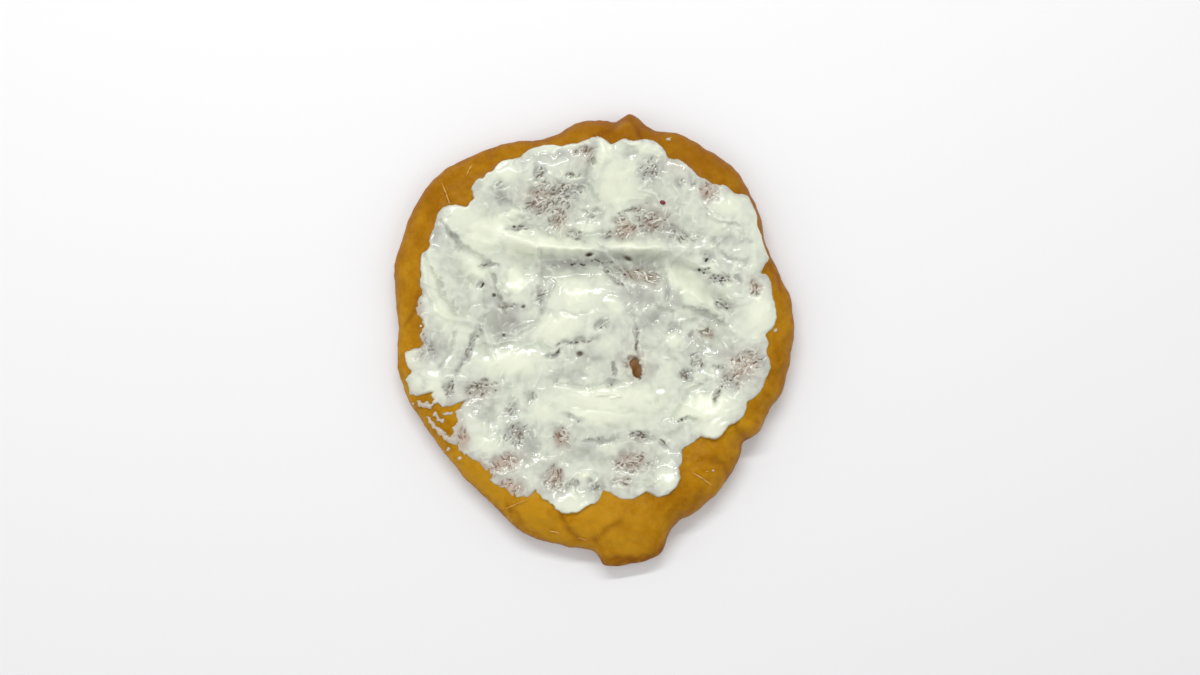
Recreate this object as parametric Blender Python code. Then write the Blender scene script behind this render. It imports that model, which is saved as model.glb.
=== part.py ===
"""A langos: a deep-fried flatbread spread with soured cream over grated cheese.

Metres, +Z up. The origin is on the surface that the bread lies on, under the middle of its box.
Seen from above, +X is to the right and +Y is away from the viewer, with the torn tab nearest.
"""

import math
import random

import bmesh
import bpy
from mathutils import Vector, noise

MM = 0.001

# The bread's outline: its radius in millimetres at even steps round the middle, from +X towards +Y.
FAR_SIDE_RADII = (102, 101, 107.5, 113.5, 112.5, 108, 112, 115.5, 109)
NEAR_SIDE_RADII = (101, 99.5, 96, 100.5, 105.5, 107, 102.5, 97, 98)
# What stands out of that outline or cuts into it: angle, rise in millimetres, half-width, squareness.
RIM_BUMPS = (
    (13, 1.4, 6, 2),
    (29, -2.8, 5, 2),
    (50, 1.8, 9, 2),
    (80, 4.4, 3.6, 2),
    (92, 2.2, 5, 2),
    (104, -2.2, 6, 2),
    (130, 1.2, 8, 2),
    (173, -2.2, 8, 2),
    (188, 1.4, 7, 2),
    (252, 2.2, 7, 2),
    (280.5, 9.6, 9.2, 6),
    (291, 1.6, 4, 2),
    (325, -2.6, 3.2, 2),
    (331, 1.6, 3.6, 2),
    (345, 1.8, 4, 2),
    (8, 0.8, 6, 2),
    (263, 1.3, 3, 2),
    (315, 1.0, 6, 2),
    (207, -1.2, 4, 2),
    (94, 1.0, 6, 2),
    (329, -1.4, 11, 2),
    (295, -1.5, 3, 2),
    (74, -1.4, 3, 2),
    (152, -1.0, 5, 2),
    (235, -1.2, 4, 2),
)
RIM_CRINKLE = 0.7
CRINKLE_LENGTH = 9.0

# The bread's thickness in millimetres: a thin middle, a swollen ring and a rounded edge.
MIDDLE_HEIGHT = 11.5
RING_RISE = 8.5
RING_AT = 0.86
RING_HALF_WIDTH = 0.19
EDGE_HEIGHT = 7.5
TOP_SQUARENESS = 14.0
FLAT_BASE_SHARE = 0.8
# Where the ring swells or sinks: angle, rise in millimetres, half-width.
RING_SWELLS = (
    (35, 2.2, 30),
    (82, 1.6, 12),
    (120, 0.8, 26),
    (190, -1.0, 30),
    (232, -1.6, 24),
    (280, -3.4, 14),
    (310, 1.0, 16),
    (350, 1.8, 18),
)
# Lumps and dents in the dough: x, y, radius, rise, in millimetres.
LUMPS = (
    (2, 14, 27, 4.2),
    (17, 105, 7, 2.6),
    (-8, 103, 12, 1.4),
    (82, -45, 9, 2.2),
    (-30, -50, 26, 1.6),
    (45, -12, 22, 1.4),
    (8, -95, 14, 1.8),
    (35, -88, 13, 2.0),
    (62, -66, 13, 1.6),
    (21, -103, 9, -1.6),
    (-88, 44, 12, 1.2),
    (-42, -90, 11, 1.2),
    (88, 56, 12, 1.0),
)
# The crease across the middle: a raised fold and the trough on its near side.
FOLD_LINE = ((-44, 52), (-20, 47), (4, 46), (28, 48), (52, 47))
FOLD_RISE = 3.6
FOLD_HALF_WIDTH = 5.0
TROUGH_LINE = ((-34, 38), (-8, 36), (18, 36), (42, 34), (58, 20), (60, 4))
TROUGH_DEPTH = 4.2
TROUGH_HALF_WIDTH = 8.0

# The cream's edge is a row of round lobes: angle, reach and lobe radius, in degrees and millimetres.
CREAM_BODY_RADIUS = 72.0
CREAM_LOBES = (
    (-2, 88, 10),
    (10, 93.5, 13),
    (18, 94, 9),
    (29, 102, 11),
    (40, 108.5, 12),
    (48, 103, 9),
    (54, 99.5, 12),
    (63, 101, 14),
    (74, 106, 11),
    (81, 103, 9),
    (90, 103, 12),
    (98, 101, 10),
    (106, 104, 14),
    (117, 103, 12),
    (125, 101.5, 9),
    (132, 95, 8),
    (140, 102.5, 10),
    (146, 99.5, 8),
    (154, 98, 11),
    (160, 95, 7),
    (168, 92.5, 10),
    (178, 89.5, 12),
    (190.5, 100.5, 11.5),
    (200, 87, 7),
    (210, 80.5, 6),
    (216, 87.5, 7),
    (221, 89, 8),
    (228.5, 86, 8),
    (236, 89, 11),
    (242.5, 89, 8.5),
    (250, 82, 8),
    (255, 86, 6),
    (261, 89, 11),
    (268, 83.5, 7),
    (277, 78, 9),
    (281.5, 83, 7),
    (285, 83, 10),
    (296, 86.5, 10),
    (302.5, 77.5, 7),
    (326, 81, 10),
    (333.5, 84.5, 9),
    (345, 88.5, 10),
    (351, 90.5, 9),
)
LOBE_SOFTNESS = 1.2
CREAM_OVERHANG_LIMIT = 0.985
# Notches in that edge: angle, depth in millimetres, half-width.
CREAM_NOTCHES = (
    (23, 3.0, 1.6),
    (84.5, 0.6, 2.0),
    (206, 2.0, 1.8),
)
CREAM_THICKNESS = 2.3
CREAM_EDGE_WIDTH = 3.4
CREAM_SINK = 1.2
CREAM_GAP = 0.3
# Dollops (rise above zero) and scraped places (rise below it): x, y, half-length, half-width, turn, rise.
CREAM_STROKES = (
    (16, 79, 19, 15, 80, 1.5),
    (-48, 51, 15, 13, 20, 1.2),
    (-22, 47, 22, 4, -8, 1.3),
    (32, 47, 20, 4, -2, 1.3),
    (56, 31, 22, 8, -35, 1.3),
    (76, 13, 15, 10, 75, 1.3),
    (-6, 10, 17, 14, 20, 1.3),
    (-47, -15, 25, 12, 6, 1.9),
    (14, -37, 38, 14, -4, 1.9),
    (62, -42, 13, 11, 30, 1.5),
    (-77, 34, 20, 8, 75, 1.1),
    (-52, 22, 18, 7, -50, 1.0),
    (-12, -79, 12, 10, 10, 1.2),
    (34, -72, 13, 10, 0, 1.2),
    (78, 50, 14, 10, 60, 1.0),
    (-20, 69, 15, 12, 0, -1.1),
    (34, 62, 22, 8, 4, -1.1),
    (31, 86, 8, 8, 0, -0.9),
    (57, 76, 11, 7, -35, -1.0),
    (-36, 20, 16, 12, 30, -0.7),
    (24, 37, 16, 5, -14, -0.9),
    (74, 36, 12, 8, -20, -1.0),
    (74, -20, 13, 9, 45, -1.2),
    (52, -10, 10, 10, 0, -0.8),
    (-63, -28, 14, 7, 8, -1.2),
    (-38, -46, 12, 10, 20, -0.9),
    (-14, -46, 9, 9, 0, -0.9),
    (23, -59, 15, 9, 10, -1.1),
    (-45, -64, 11, 7, 30, -1.2),
    (-17, -66, 11, 9, 0, -0.9),
    (-78, -3, 7, 15, 0, -0.9),
    (-68, -51, 5, 9, 10, -1.1),
)
# The hole in the cream where the bread shows: middle, half-length and half-width, and its turn.
HOLE_AT = (21.5, -14.8)
HOLE_HALVES = (5.4, 2.9)
HOLE_TURN = 100
HOLE_DEPTH = 20.0

# Grated cheese that shows: shreds on the scraped cream, and stray ones on the bare bread.
SHRED_WIDTH = 1.6
SHRED_HEIGHT = 2.2
SHRED_RISE = -0.1
SHRED_TAPER = 0.35
SHRED_CUTS = 1
SHRED_LENGTHS = (7.0, 11.0)
SHRED_BEND = 0.012
SHREDS_IN_SCRAPE = 3
SHRED_SPACING = 0.8
SHRED_DISORDER = 14
# Stray shreds on the bread: x, y, length, turn, in millimetres and degrees.
STRAY_SHREDS = (
    (-77, 76, 9, -62),
    (-63, 86, 6, 60),
    (38, 101, 5, 20),
    (92, 5, 5, 20),
    (54, -70, 8, -35),
    (-39, -83, 7, 25),
    (-15, -97, 7, -12),
    (-88, -32, 7, 5),
    (-79, -42, 8, -50),
    (-76, -52, 5, 30),
)
SEED = 7

# Both shapes start as fine spheres and are then thinned, so that their facets go where the relief is.
FINE_SEGMENTS = 180
FINE_RINGS = 44
TOP_SHARE = 34 / 44
EDGE_CROWDING = 1.7
DOUGH_TRIANGLES = 3000
CREAM_TRIANGLES = 3200


def smooth_ring(values, angle):
    """A value read from a smooth closed curve through values at even steps round the circle."""
    step = angle / (2 * math.pi) * len(values)
    first = math.floor(step)
    share = step - first
    before, start, end, after = (values[(first + k) % len(values)] for k in (-1, 0, 1, 2))
    slope_in = (end - before) / 2
    slope_out = (after - start) / 2
    square, cube = share**2, share**3
    return (
        start * (2 * cube - 3 * square + 1)
        + slope_in * (cube - 2 * square + share)
        + end * (3 * square - 2 * cube)
        + slope_out * (cube - square)
    )


def turn_between(angle, centre_degrees):
    """How far an angle in radians is from a direction in degrees, in degrees either way."""
    return (math.degrees(angle) - centre_degrees + 180) % 360 - 180


def rim_radius(angle):
    """Distance in millimetres from the middle to the bread's edge."""
    radius = smooth_ring(FAR_SIDE_RADII + NEAR_SIDE_RADII, angle)
    for centre, rise, half_width, squareness in RIM_BUMPS:
        radius += rise * math.exp(-abs(turn_between(angle, centre) / half_width) ** squareness)
    crinkle = Vector((math.cos(angle), math.sin(angle), 0)) * radius / CRINKLE_LENGTH
    return radius + RIM_CRINKLE * noise.noise(crinkle)


def distance_to_line(x, y, line):
    """Distance in millimetres from a point to a chain of straight runs."""
    nearest = math.inf
    for (ax, ay), (bx, by) in zip(line, line[1:]):
        run_x, run_y = bx - ax, by - ay
        share = ((x - ax) * run_x + (y - ay) * run_y) / (run_x**2 + run_y**2)
        share = min(1.0, max(0.0, share))
        nearest = min(nearest, math.hypot(x - ax - share * run_x, y - ay - share * run_y))
    return nearest


def hill(distance, half_width):
    """A soft bump, 1 at its middle."""
    return math.exp(-((distance / half_width) ** 2))


def oval(x, y, centre_x, centre_y, half_length, half_width, turn):
    """A soft oval bump, 1 at its middle."""
    along, across = math.cos(math.radians(turn)), math.sin(math.radians(turn))
    dx, dy = x - centre_x, y - centre_y
    u = (dx * along + dy * across) / half_length
    v = (dy * along - dx * across) / half_width
    return math.exp(-(u * u + v * v))


def crust_height(x, y):
    """Height in millimetres of the bread's top, before its edge is rounded off."""
    angle = math.atan2(y, x)
    share = math.hypot(x, y) / rim_radius(angle)
    ring = RING_RISE
    for centre, rise, half_width in RING_SWELLS:
        ring += rise * hill(turn_between(angle, centre), half_width)
    height = MIDDLE_HEIGHT + ring * hill(share - RING_AT, RING_HALF_WIDTH)
    for lump_x, lump_y, radius, rise in LUMPS:
        height += rise * hill(math.hypot(x - lump_x, y - lump_y), radius)
    height += FOLD_RISE * hill(distance_to_line(x, y, FOLD_LINE), FOLD_HALF_WIDTH)
    height -= TROUGH_DEPTH * hill(distance_to_line(x, y, TROUGH_LINE), TROUGH_HALF_WIDTH)
    return height


def dough_top(x, y):
    """Height in millimetres of the bread's finished top surface."""
    share = min(1.0, math.hypot(x, y) / rim_radius(math.atan2(y, x)))
    rounding = math.sqrt(1 - share**TOP_SQUARENESS)
    return EDGE_HEIGHT + (crust_height(x, y) - EDGE_HEIGHT) * rounding


def dough_base(share):
    """Height in millimetres of the bread's underside, flat but for its rounded edge."""
    outward = max(0.0, share - FLAT_BASE_SHARE) / (1 - FLAT_BASE_SHARE)
    return EDGE_HEIGHT * (1 - math.sqrt(1 - outward**2))


def cream_radius(angle):
    """Distance in millimetres from the middle to the cream's edge: how far its softly joined lobes reach."""
    total = 1.0
    for centre, reach, lobe in CREAM_LOBES:
        turn = math.radians(turn_between(angle, centre))
        along = (reach - lobe) * math.cos(turn)
        half_chord = lobe**2 - ((reach - lobe) * math.sin(turn)) ** 2
        if along > 0 and half_chord > 0:
            total += math.exp((along + math.sqrt(half_chord) - CREAM_BODY_RADIUS) / LOBE_SOFTNESS)
    radius = CREAM_BODY_RADIUS + LOBE_SOFTNESS * math.log(total)
    for centre, depth, half_width in CREAM_NOTCHES:
        radius -= depth * hill(turn_between(angle, centre), half_width)
    return min(radius, CREAM_OVERHANG_LIMIT * rim_radius(angle))


def cream_thickness(x, y):
    """Thickness in millimetres of the cream, away from its edge."""
    thickness = CREAM_THICKNESS
    for stroke in CREAM_STROKES:
        thickness += stroke[-1] * oval(x, y, *stroke[:-1])
    return thickness


def ring_of(depth):
    """Whether a ring lies on the top, and its distance from the middle as a share of the radius.

    depth runs from 0 at the middle of the top to 1 at the middle of the base. Rings crowd at the edge.
    """
    on_top = depth <= TOP_SHARE
    inward = 1 - depth / TOP_SHARE if on_top else (depth - TOP_SHARE) / (1 - TOP_SHARE)
    return on_top, 1 - min(1.0, max(0.0, inward)) ** EDGE_CROWDING


def dough_point(depth, angle):
    """A point of the bread."""
    on_top, share = ring_of(depth)
    radius = share * rim_radius(angle)
    x, y = radius * math.cos(angle), radius * math.sin(angle)
    return Vector((x, y, dough_top(x, y) if on_top else dough_base(share))) * MM


def cream_point(depth, angle):
    """A point of the cream before the bread is cut out of it."""
    on_top, share = ring_of(depth)
    reach = cream_radius(angle)
    x, y = share * reach * math.cos(angle), share * reach * math.sin(angle)
    height = dough_top(x, y) - CREAM_SINK
    if on_top:
        inward = min(1.0, (1 - share) * reach / CREAM_EDGE_WIDTH)
        rounding = math.sqrt(1 - (1 - inward) ** 2)
        height += (cream_thickness(x, y) + CREAM_SINK) * rounding
    return Vector((x, y, height)) * MM


def material(name, colour, roughness):
    """A plain Principled material."""
    made = bpy.data.materials.new(name)
    made.use_nodes = True
    shader = made.node_tree.nodes["Principled BSDF"]
    shader.inputs["Base Color"].default_value = (*colour, 1)
    shader.inputs["Roughness"].default_value = roughness
    shader.inputs["Metallic"].default_value = 0
    return made


def new_object(name, mesh, collection):
    """An object for a mesh, in a collection."""
    made = bpy.data.objects.new(name, mesh)
    collection.objects.link(made)
    return made


def new_collection(name, shown):
    """A collection of the scene. One that isn't shown holds cutters and pieces to be joined."""
    made = bpy.data.collections.new(name)
    made.hide_render = not shown
    bpy.context.scene.collection.children.link(made)
    return made


def shaped_sphere(name, point_at, triangles, collection):
    """A sphere with every vertex moved to point_at(depth, angle), thinned to about so many triangles."""
    build = bmesh.new()
    bmesh.ops.create_uvsphere(build, u_segments=FINE_SEGMENTS, v_segments=FINE_RINGS, radius=1)
    for vertex in build.verts:
        depth = math.acos(max(-1.0, min(1.0, vertex.co.z))) / math.pi
        vertex.co = point_at(depth, math.atan2(vertex.co.y, vertex.co.x))
    bmesh.ops.triangulate(build, faces=build.faces)
    bmesh.ops.recalc_face_normals(build, faces=build.faces)
    mesh = bpy.data.meshes.new(name)
    build.to_mesh(mesh)
    build.free()
    shaped = new_object(name, mesh, collection)
    thin = shaped.modifiers.new("thin", "DECIMATE")
    thin.ratio = triangles / len(mesh.polygons)
    apply_modifier(shaped, thin)
    return shaped


def apply_modifier(target, modifier):
    """Turns what a modifier makes into the object's own mesh."""
    graph = bpy.context.evaluated_depsgraph_get()
    result = bpy.data.meshes.new_from_object(target.evaluated_get(graph))
    target.modifiers.remove(modifier)
    target.data = result


def lay_shred(x, y, length, turn, bend, surface, collection):
    """A shred of cheese: a slim block, curved sideways and half sunk in the surface that it follows."""
    heading_x, heading_y = math.cos(math.radians(turn)), math.sin(math.radians(turn))
    build = bmesh.new()
    bmesh.ops.create_cube(build, size=1)
    lengthways = [e for e in build.edges if abs(e.verts[0].co.x - e.verts[1].co.x) > 0.5]
    bmesh.ops.subdivide_edges(build, edges=lengthways, cuts=SHRED_CUTS, use_grid_fill=True)
    for vertex in build.verts:
        along = vertex.co.x * length
        across = vertex.co.y * SHRED_WIDTH * (1 - SHRED_TAPER * (2 * vertex.co.x) ** 2) + bend * along**2
        at_x = x + along * heading_x - across * heading_y
        at_y = y + along * heading_y + across * heading_x
        sunk = SHRED_HEIGHT * vertex.co.z + SHRED_RISE
        vertex.co = Vector((at_x, at_y, surface(at_x, at_y) + sunk)) * MM
    bmesh.ops.triangulate(build, faces=build.faces)
    mesh = bpy.data.meshes.new("shred")
    build.to_mesh(mesh)
    build.free()
    return new_object("shred", mesh, collection)


def boolean(target, operation, pieces):
    """Joins a collection's objects to target, or cuts them from it, and takes them out of the file."""
    join = target.modifiers.new("join or cut", "BOOLEAN")
    join.operation = operation
    join.solver = "MANIFOLD"
    join.operand_type = "COLLECTION"
    join.collection = pieces
    apply_modifier(target, join)
    for helper in list(pieces.objects):
        bpy.data.objects.remove(helper)
    bpy.data.collections.remove(pieces)


def drop_scraps(piece):
    """Keeps the largest connected body of a piece, and drops any crumb that touches nothing."""
    build = bmesh.new()
    build.from_mesh(piece.data)
    bodies = []
    unvisited = set(build.verts)
    while unvisited:
        body = [unvisited.pop()]
        for vertex in body:
            for edge in vertex.link_edges:
                other = edge.other_vert(vertex)
                if other in unvisited:
                    unvisited.remove(other)
                    body.append(other)
        bodies.append(body)
    bodies.sort(key=len)
    for body in bodies[:-1]:
        bmesh.ops.delete(build, geom=body, context="VERTS")
    build.to_mesh(piece.data)
    build.free()


def cream_top(x, y):
    """Height in millimetres of the cream's surface, away from its edge."""
    return dough_top(x, y) + cream_thickness(x, y)


def lies_on_cream(x, y, margin):
    """Whether a point is inside the cream's edge by more than a margin in millimetres."""
    return math.hypot(x, y) + margin < cream_radius(math.atan2(y, x))


def shreds_for_cream(draw):
    """The shreds that show through the cream: a few side by side in each scraped place."""
    shreds = new_collection("cream shreds", shown=False)
    for x, y, half_length, half_width, turn, rise in CREAM_STROKES:
        if rise > 0:
            continue
        lie = draw.uniform(-90, 90)
        for place in range(SHREDS_IN_SCRAPE):
            along = draw.uniform(-0.5, 0.5) * half_length
            across = (place - (SHREDS_IN_SCRAPE - 1) / 2) * half_width * SHRED_SPACING
            at_x = x + along * math.cos(math.radians(turn)) - across * math.sin(math.radians(turn))
            at_y = y + along * math.sin(math.radians(turn)) + across * math.cos(math.radians(turn))
            length = draw.uniform(*SHRED_LENGTHS)
            heading = lie + draw.uniform(-SHRED_DISORDER, SHRED_DISORDER)
            bend = draw.choice((-SHRED_BEND, SHRED_BEND))
            if lies_on_cream(at_x, at_y, length):
                lay_shred(at_x, at_y, length, heading, bend, cream_top, shreds)
    return shreds


def hole_cutter(cutters):
    """An upright oval pin where the cream leaves the bread bare."""
    build = bmesh.new()
    bmesh.ops.create_cone(build, cap_ends=True, segments=16, radius1=1, radius2=1, depth=1)
    mesh = bpy.data.meshes.new("hole")
    build.to_mesh(mesh)
    build.free()
    hole = new_object("hole", mesh, cutters)
    hole.location = Vector((*HOLE_AT, dough_top(*HOLE_AT))) * MM
    hole.rotation_euler.z = math.radians(HOLE_TURN)
    hole.scale = Vector((*HOLE_HALVES, HOLE_DEPTH)) * MM
    hole.display_type = "WIRE"


def make_dough(langos):
    """The fried bread, with stray shreds of cheese fused to its bare rim."""
    dough = shaped_sphere("dough", dough_point, DOUGH_TRIANGLES, langos)
    strays = new_collection("stray shreds", shown=False)
    for x, y, length, turn in STRAY_SHREDS:
        lay_shred(x, y, length, turn, SHRED_BEND, dough_top, strays)
    boolean(dough, "UNION", strays)
    return dough


def make_cream(langos, dough, draw):
    """The soured cream: a wavy layer cut to fit the bread, with cheese shreds in its scraped places."""
    cream = shaped_sphere("soured_cream", cream_point, CREAM_TRIANGLES, langos)
    boolean(cream, "UNION", shreds_for_cream(draw))
    cutters = new_collection("cutters", shown=False)
    hole_cutter(cutters)
    clearance = new_object("clearance", dough.data.copy(), cutters)
    clearance.display_type = "WIRE"
    swell = clearance.modifiers.new("swell", "DISPLACE")
    swell.strength = CREAM_GAP * MM
    swell.mid_level = 0
    boolean(cream, "DIFFERENCE", cutters)
    drop_scraps(cream)
    return cream


def main():
    for old in list(bpy.data.objects):
        bpy.data.objects.remove(old)
    draw = random.Random(SEED)
    langos = new_collection("langos", shown=True)
    dough = make_dough(langos)
    cream = make_cream(langos, dough, draw)
    crust = material("fried crust", (0.39, 0.18, 0.018), 0.4)
    white = material("soured cream", (0.66, 0.69, 0.58), 0.3)
    for piece, finish in ((dough, crust), (cream, white)):
        piece.data.materials.clear()
        piece.data.materials.append(finish)
        piece.data.shade_smooth()
        piece.data.set_sharp_from_angle(angle=math.radians(50))


main()
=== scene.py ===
"""The looks of a langos: fried crust, soured cream and grated cheese, on a plain pale floor.

Lengths inside the shape functions are in millimetres, and become metres where a mesh is made.
Seen from above, +X is to the right and +Y is away from the viewer.
"""

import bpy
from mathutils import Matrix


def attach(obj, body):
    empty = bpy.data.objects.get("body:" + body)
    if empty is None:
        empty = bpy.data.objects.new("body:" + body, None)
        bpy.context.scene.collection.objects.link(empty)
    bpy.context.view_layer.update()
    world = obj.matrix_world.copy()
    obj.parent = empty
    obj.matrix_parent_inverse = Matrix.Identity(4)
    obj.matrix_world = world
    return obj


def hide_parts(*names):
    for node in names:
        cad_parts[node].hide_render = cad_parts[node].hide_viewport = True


bl_info = {
    "name": "Langos",
    "version": (1, 0, 0),
    "blender": (4, 5, 0),
    "location": "View3D > Sidebar > Langos",
    "description": "Makes a langos with its crust, soured cream and grated cheese",
    "category": "Object",
}

import math

import bmesh
import bpy
import numpy as np
from bpy.props import FloatProperty, FloatVectorProperty, IntProperty, PointerProperty
from mathutils import Vector, noise

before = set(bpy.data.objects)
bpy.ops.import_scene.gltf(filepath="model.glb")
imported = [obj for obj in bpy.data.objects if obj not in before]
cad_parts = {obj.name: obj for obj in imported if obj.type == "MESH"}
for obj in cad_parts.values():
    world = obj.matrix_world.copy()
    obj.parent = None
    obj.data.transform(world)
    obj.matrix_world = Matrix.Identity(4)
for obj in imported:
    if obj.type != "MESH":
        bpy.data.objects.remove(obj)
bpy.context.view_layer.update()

MM = 0.001
BODY = "root"
TURN_STEPS = 2880
TURNS = np.linspace(0, 2 * math.pi, TURN_STEPS + 1)

# The bread's outline: its radius at even steps round the middle, from +X towards +Y.
FAR_SIDE_RADII = (102, 101, 107.5, 113.5, 112.5, 108, 112, 115.5, 109)
NEAR_SIDE_RADII = (101, 99.5, 96, 100.5, 105.5, 107, 102.5, 97, 98)
# What stands out of that outline or cuts into it: angle, rise, half-width, squareness.
RIM_BUMPS = (
    (13, 1.4, 6, 2),
    (29, -2.8, 5, 2),
    (50, 1.8, 9, 2),
    (80, 4.4, 3.6, 2),
    (92, 2.2, 5, 2),
    (104, -2.2, 6, 2),
    (130, 1.2, 8, 2),
    (173, -2.2, 8, 2),
    (188, 1.4, 7, 2),
    (252, 2.2, 7, 2),
    (280.5, 9.6, 9.2, 6),
    (291, 1.6, 4, 2),
    (325, -2.6, 3.2, 2),
    (331, 1.6, 3.6, 2),
    (345, 1.8, 4, 2),
    (8, 0.8, 6, 2),
    (263, 1.3, 3, 2),
    (315, 1.0, 6, 2),
    (207, -1.2, 4, 2),
    (94, 1.0, 6, 2),
    (329, -1.4, 11, 2),
    (295, -1.5, 3, 2),
    (74, -1.4, 3, 2),
    (152, -1.0, 5, 2),
    (235, -1.2, 4, 2),
    (272.3, 1.6, 1.1, 2),
    (81.5, 0.8, 1.5, 2),
)
RIM_CRINKLE = 0.7
CRINKLE_LENGTH = 9.0

# The bread's thickness: a thin middle, a swollen ring and a rounded edge.
MIDDLE_HEIGHT = 11.5
RING_RISE = 8.5
RING_AT = 0.86
RING_HALF_WIDTH = 0.19
EDGE_HEIGHT = 7.5
TOP_SQUARENESS = 14.0
FLAT_BASE_SHARE = 0.8
# The rings of the crust lie closer beyond this share of the radius, where the bread is bare.
COVERED_SHARE = 0.68
# From these shares outwards the relief pushes the rim out, and the crust browns, with painted shade at its
# outer edge.
PUSHED_SHARE = 0.86
BROWNED_SHARE = 0.93
# Where the ring swells or sinks: angle, rise, half-width.
RING_SWELLS = (
    (35, 2.2, 30),
    (82, 1.6, 12),
    (120, 0.8, 26),
    (190, -1.0, 30),
    (232, -1.6, 24),
    (280, -3.4, 14),
    (310, 1.0, 16),
    (350, 1.8, 18),
)
# Lumps and dents in the dough: x, y, radius, rise.
LUMPS = (
    (2, 14, 27, 4.2),
    (17, 105, 7, 2.6),
    (-8, 103, 12, 1.4),
    (82, -45, 9, 2.2),
    (-30, -50, 26, 1.6),
    (45, -12, 22, 1.4),
    (8, -95, 14, 1.8),
    (35, -88, 13, 2.0),
    (62, -66, 13, 1.6),
    (21, -103, 9, -1.6),
    (-88, 44, 12, 1.2),
    (-42, -90, 11, 1.2),
    (88, 56, 12, 1.0),
)
# The crease across the middle: a raised fold and the trough on its near side.
FOLD_LINE = ((-44, 52), (-20, 47), (4, 46), (28, 48), (52, 47))
FOLD_RISE = 3.6
FOLD_HALF_WIDTH = 5.0
TROUGH_LINE = ((-34, 38), (-8, 36), (18, 36), (42, 34), (58, 20), (60, 4))
TROUGH_DEPTH = 4.2
TROUGH_HALF_WIDTH = 8.0

# Finer forms of the bare crust. Small lumps: x, y, radius, rise.
SMALL_LUMPS = (
    (-32, -88, 9, 0.9),
    (-2, -93, 9, 0.8),
    (20, -97, 9, 1.3),
    (51, -73, 8, 0.8),
    (31, -93, 5, -0.9),
    (12, 107, 4, 0.8),
    (24, 103, 4, -1.1),
    (-12, 106, 5, 0.7),
    (76, -56, 5, -0.8),
    (88, -38, 5, 0.8),
    (95, -14, 7, 0.5),
    (-93, 18, 8, 0.5),
    (-92, 48, 7, 0.6),
    (-74, 82, 8, 0.5),
    (66, 82, 8, 0.5),
)
# Creases of the bare crust: the line that each follows. A crease is as deep as CREASE_DEPTH.
CREASES = (
    ((18, 112), (22, 106), (25, 100)),
    ((2, 104), (8, 106), (12, 111)),
    ((0, -101), (6, -97), (14, -92)),
    ((-44, -84), (-38, -88), (-37, -94)),
    ((34, -108), (38, -100), (46, -94)),
    ((4, -111), (12, -112), (22, -111.5), (30, -109)),
    ((78, -50), (74, -46), (71, -40)),
    ((-17, -89), (-12, -96), (-8, -101)),
    ((60, -60), (66, -64), (70, -70)),
    ((-96, 8), (-90, 14), (-88, 24)),
    ((86, 40), (92, 34), (95, 26)),
)
# Sides of the rim painted darker or paler, partly deeper frying and partly painted light: the near left side
# painted lighter and the far side darker, as if lit from the near left. Columns: direction in degrees,
# half-spread, how much paler (below zero darker), how much browner.
FRIED_AND_LIT_SIDES = (
    (68, 52, -0.55, 0.42),
    (145, 26, -0.4, 0.1),
    (228, 30, 1.1, 0.0),
    (252, 16, 0.6, 0.0),
    (288, 26, 0.1, 0.12),
)
# Paler patches of the crust (above zero) and deeper ones (below it):
# x, y, half-length, half-width, turn, strength.
CRUST_PATCHES = (
    (-30, -89, 9, 5, -20, 0.9),
    (-43, -87, 1.3, 4, 10, -0.9),
    (-18, -89, 6, 2.5, -38, -0.8),
    (-39, -93, 6, 2.4, -40, -0.7),
    (-28, -100, 12, 2, -18, -0.3),
    (-52, -80, 9, 5, -45, 0.35),
    (-80, -48, 4, 16, 30, 0.2),
    (0, -92, 9, 5.5, 20, 0.8),
    (18, -101, 9, 6, -10, 0.7),
    (4, -107, 3, 3, 0, -0.6),
    (13, -111.5, 11, 1.0, -4, -1.0),
    (31, -104, 1.6, 7, -12, -0.7),
    (17.5, -85, 2.4, 1.2, 0, -0.7),
    (45, -91, 9, 4, 35, -0.7),
    (52, -82, 5, 6, 0, -0.6),
    (55, -59, 4, 2, 0, -0.7),
    (70, -60, 2.5, 4, 0, -0.6),
    (68, -54, 3.5, 11, -20, 0.5),
    (55, -69, 8, 4, -30, 0.4),
    (82, -35, 5, 6, -30, -0.8),
    (83, -44, 3.5, 5, -20, 0.5),
    (83.6, -41.6, 0.9, 0.9, 0, -1.4),
    (94, -17, 4, 9, 10, -0.5),
    (92, -28, 3, 7, -30, 0.3),
    (98, -8, 2.4, 4, 0, -0.5),
    (92.5, -2, 4, 3, 0, -0.7),
    (97.5, 6, 4, 5, 0, 0.5),
    (-86, 63, 8, 6, 45, 0.4),
    (-79, 71, 7, 4, 40, -0.4),
    (-89, 50, 5, 6, 0, -0.5),
    (-96, 20, 4, 18, 0, 0.25),
    (-50, 97, 14, 3, 25, -0.4),
    (18, 107, 4, 4, 0, 0.6),
    (24, 108, 2, 5, -30, -0.7),
    (29, 106, 4, 3, 0, -0.6),
    (19, 113.5, 5, 1.2, 0, -0.9),
    (0, 105, 10, 3, 10, 0.4),
    (70, 84, 9, 4, -50, -0.4),
    # The two patches below paint the bread in the torn hole: painted shade at its bottom and painted light on
    # its upper right side.
    (20.6, -17.2, 4.0, 4.6, 20, -1.4),
    (24.5, -12, 1.6, 2.4, 20, 0.8),
)
# Where the rim's outer edge is darker, partly scorched and partly painted shade: angle, half-width, strength.
EDGE_SCORCHES_AND_SHADE = (
    (281, 10, 1.0),
    (247, 18, 0.6),
    (81, 6, 0.6),
    (326, 9, 0.5),
    (108, 16, 0.3),
    (20, 20, 0.2),
)
CREASE_DEPTH = 0.45
CREASE_HALF_WIDTH = 1.7
CREASE_WANDER = 2.2

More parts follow.
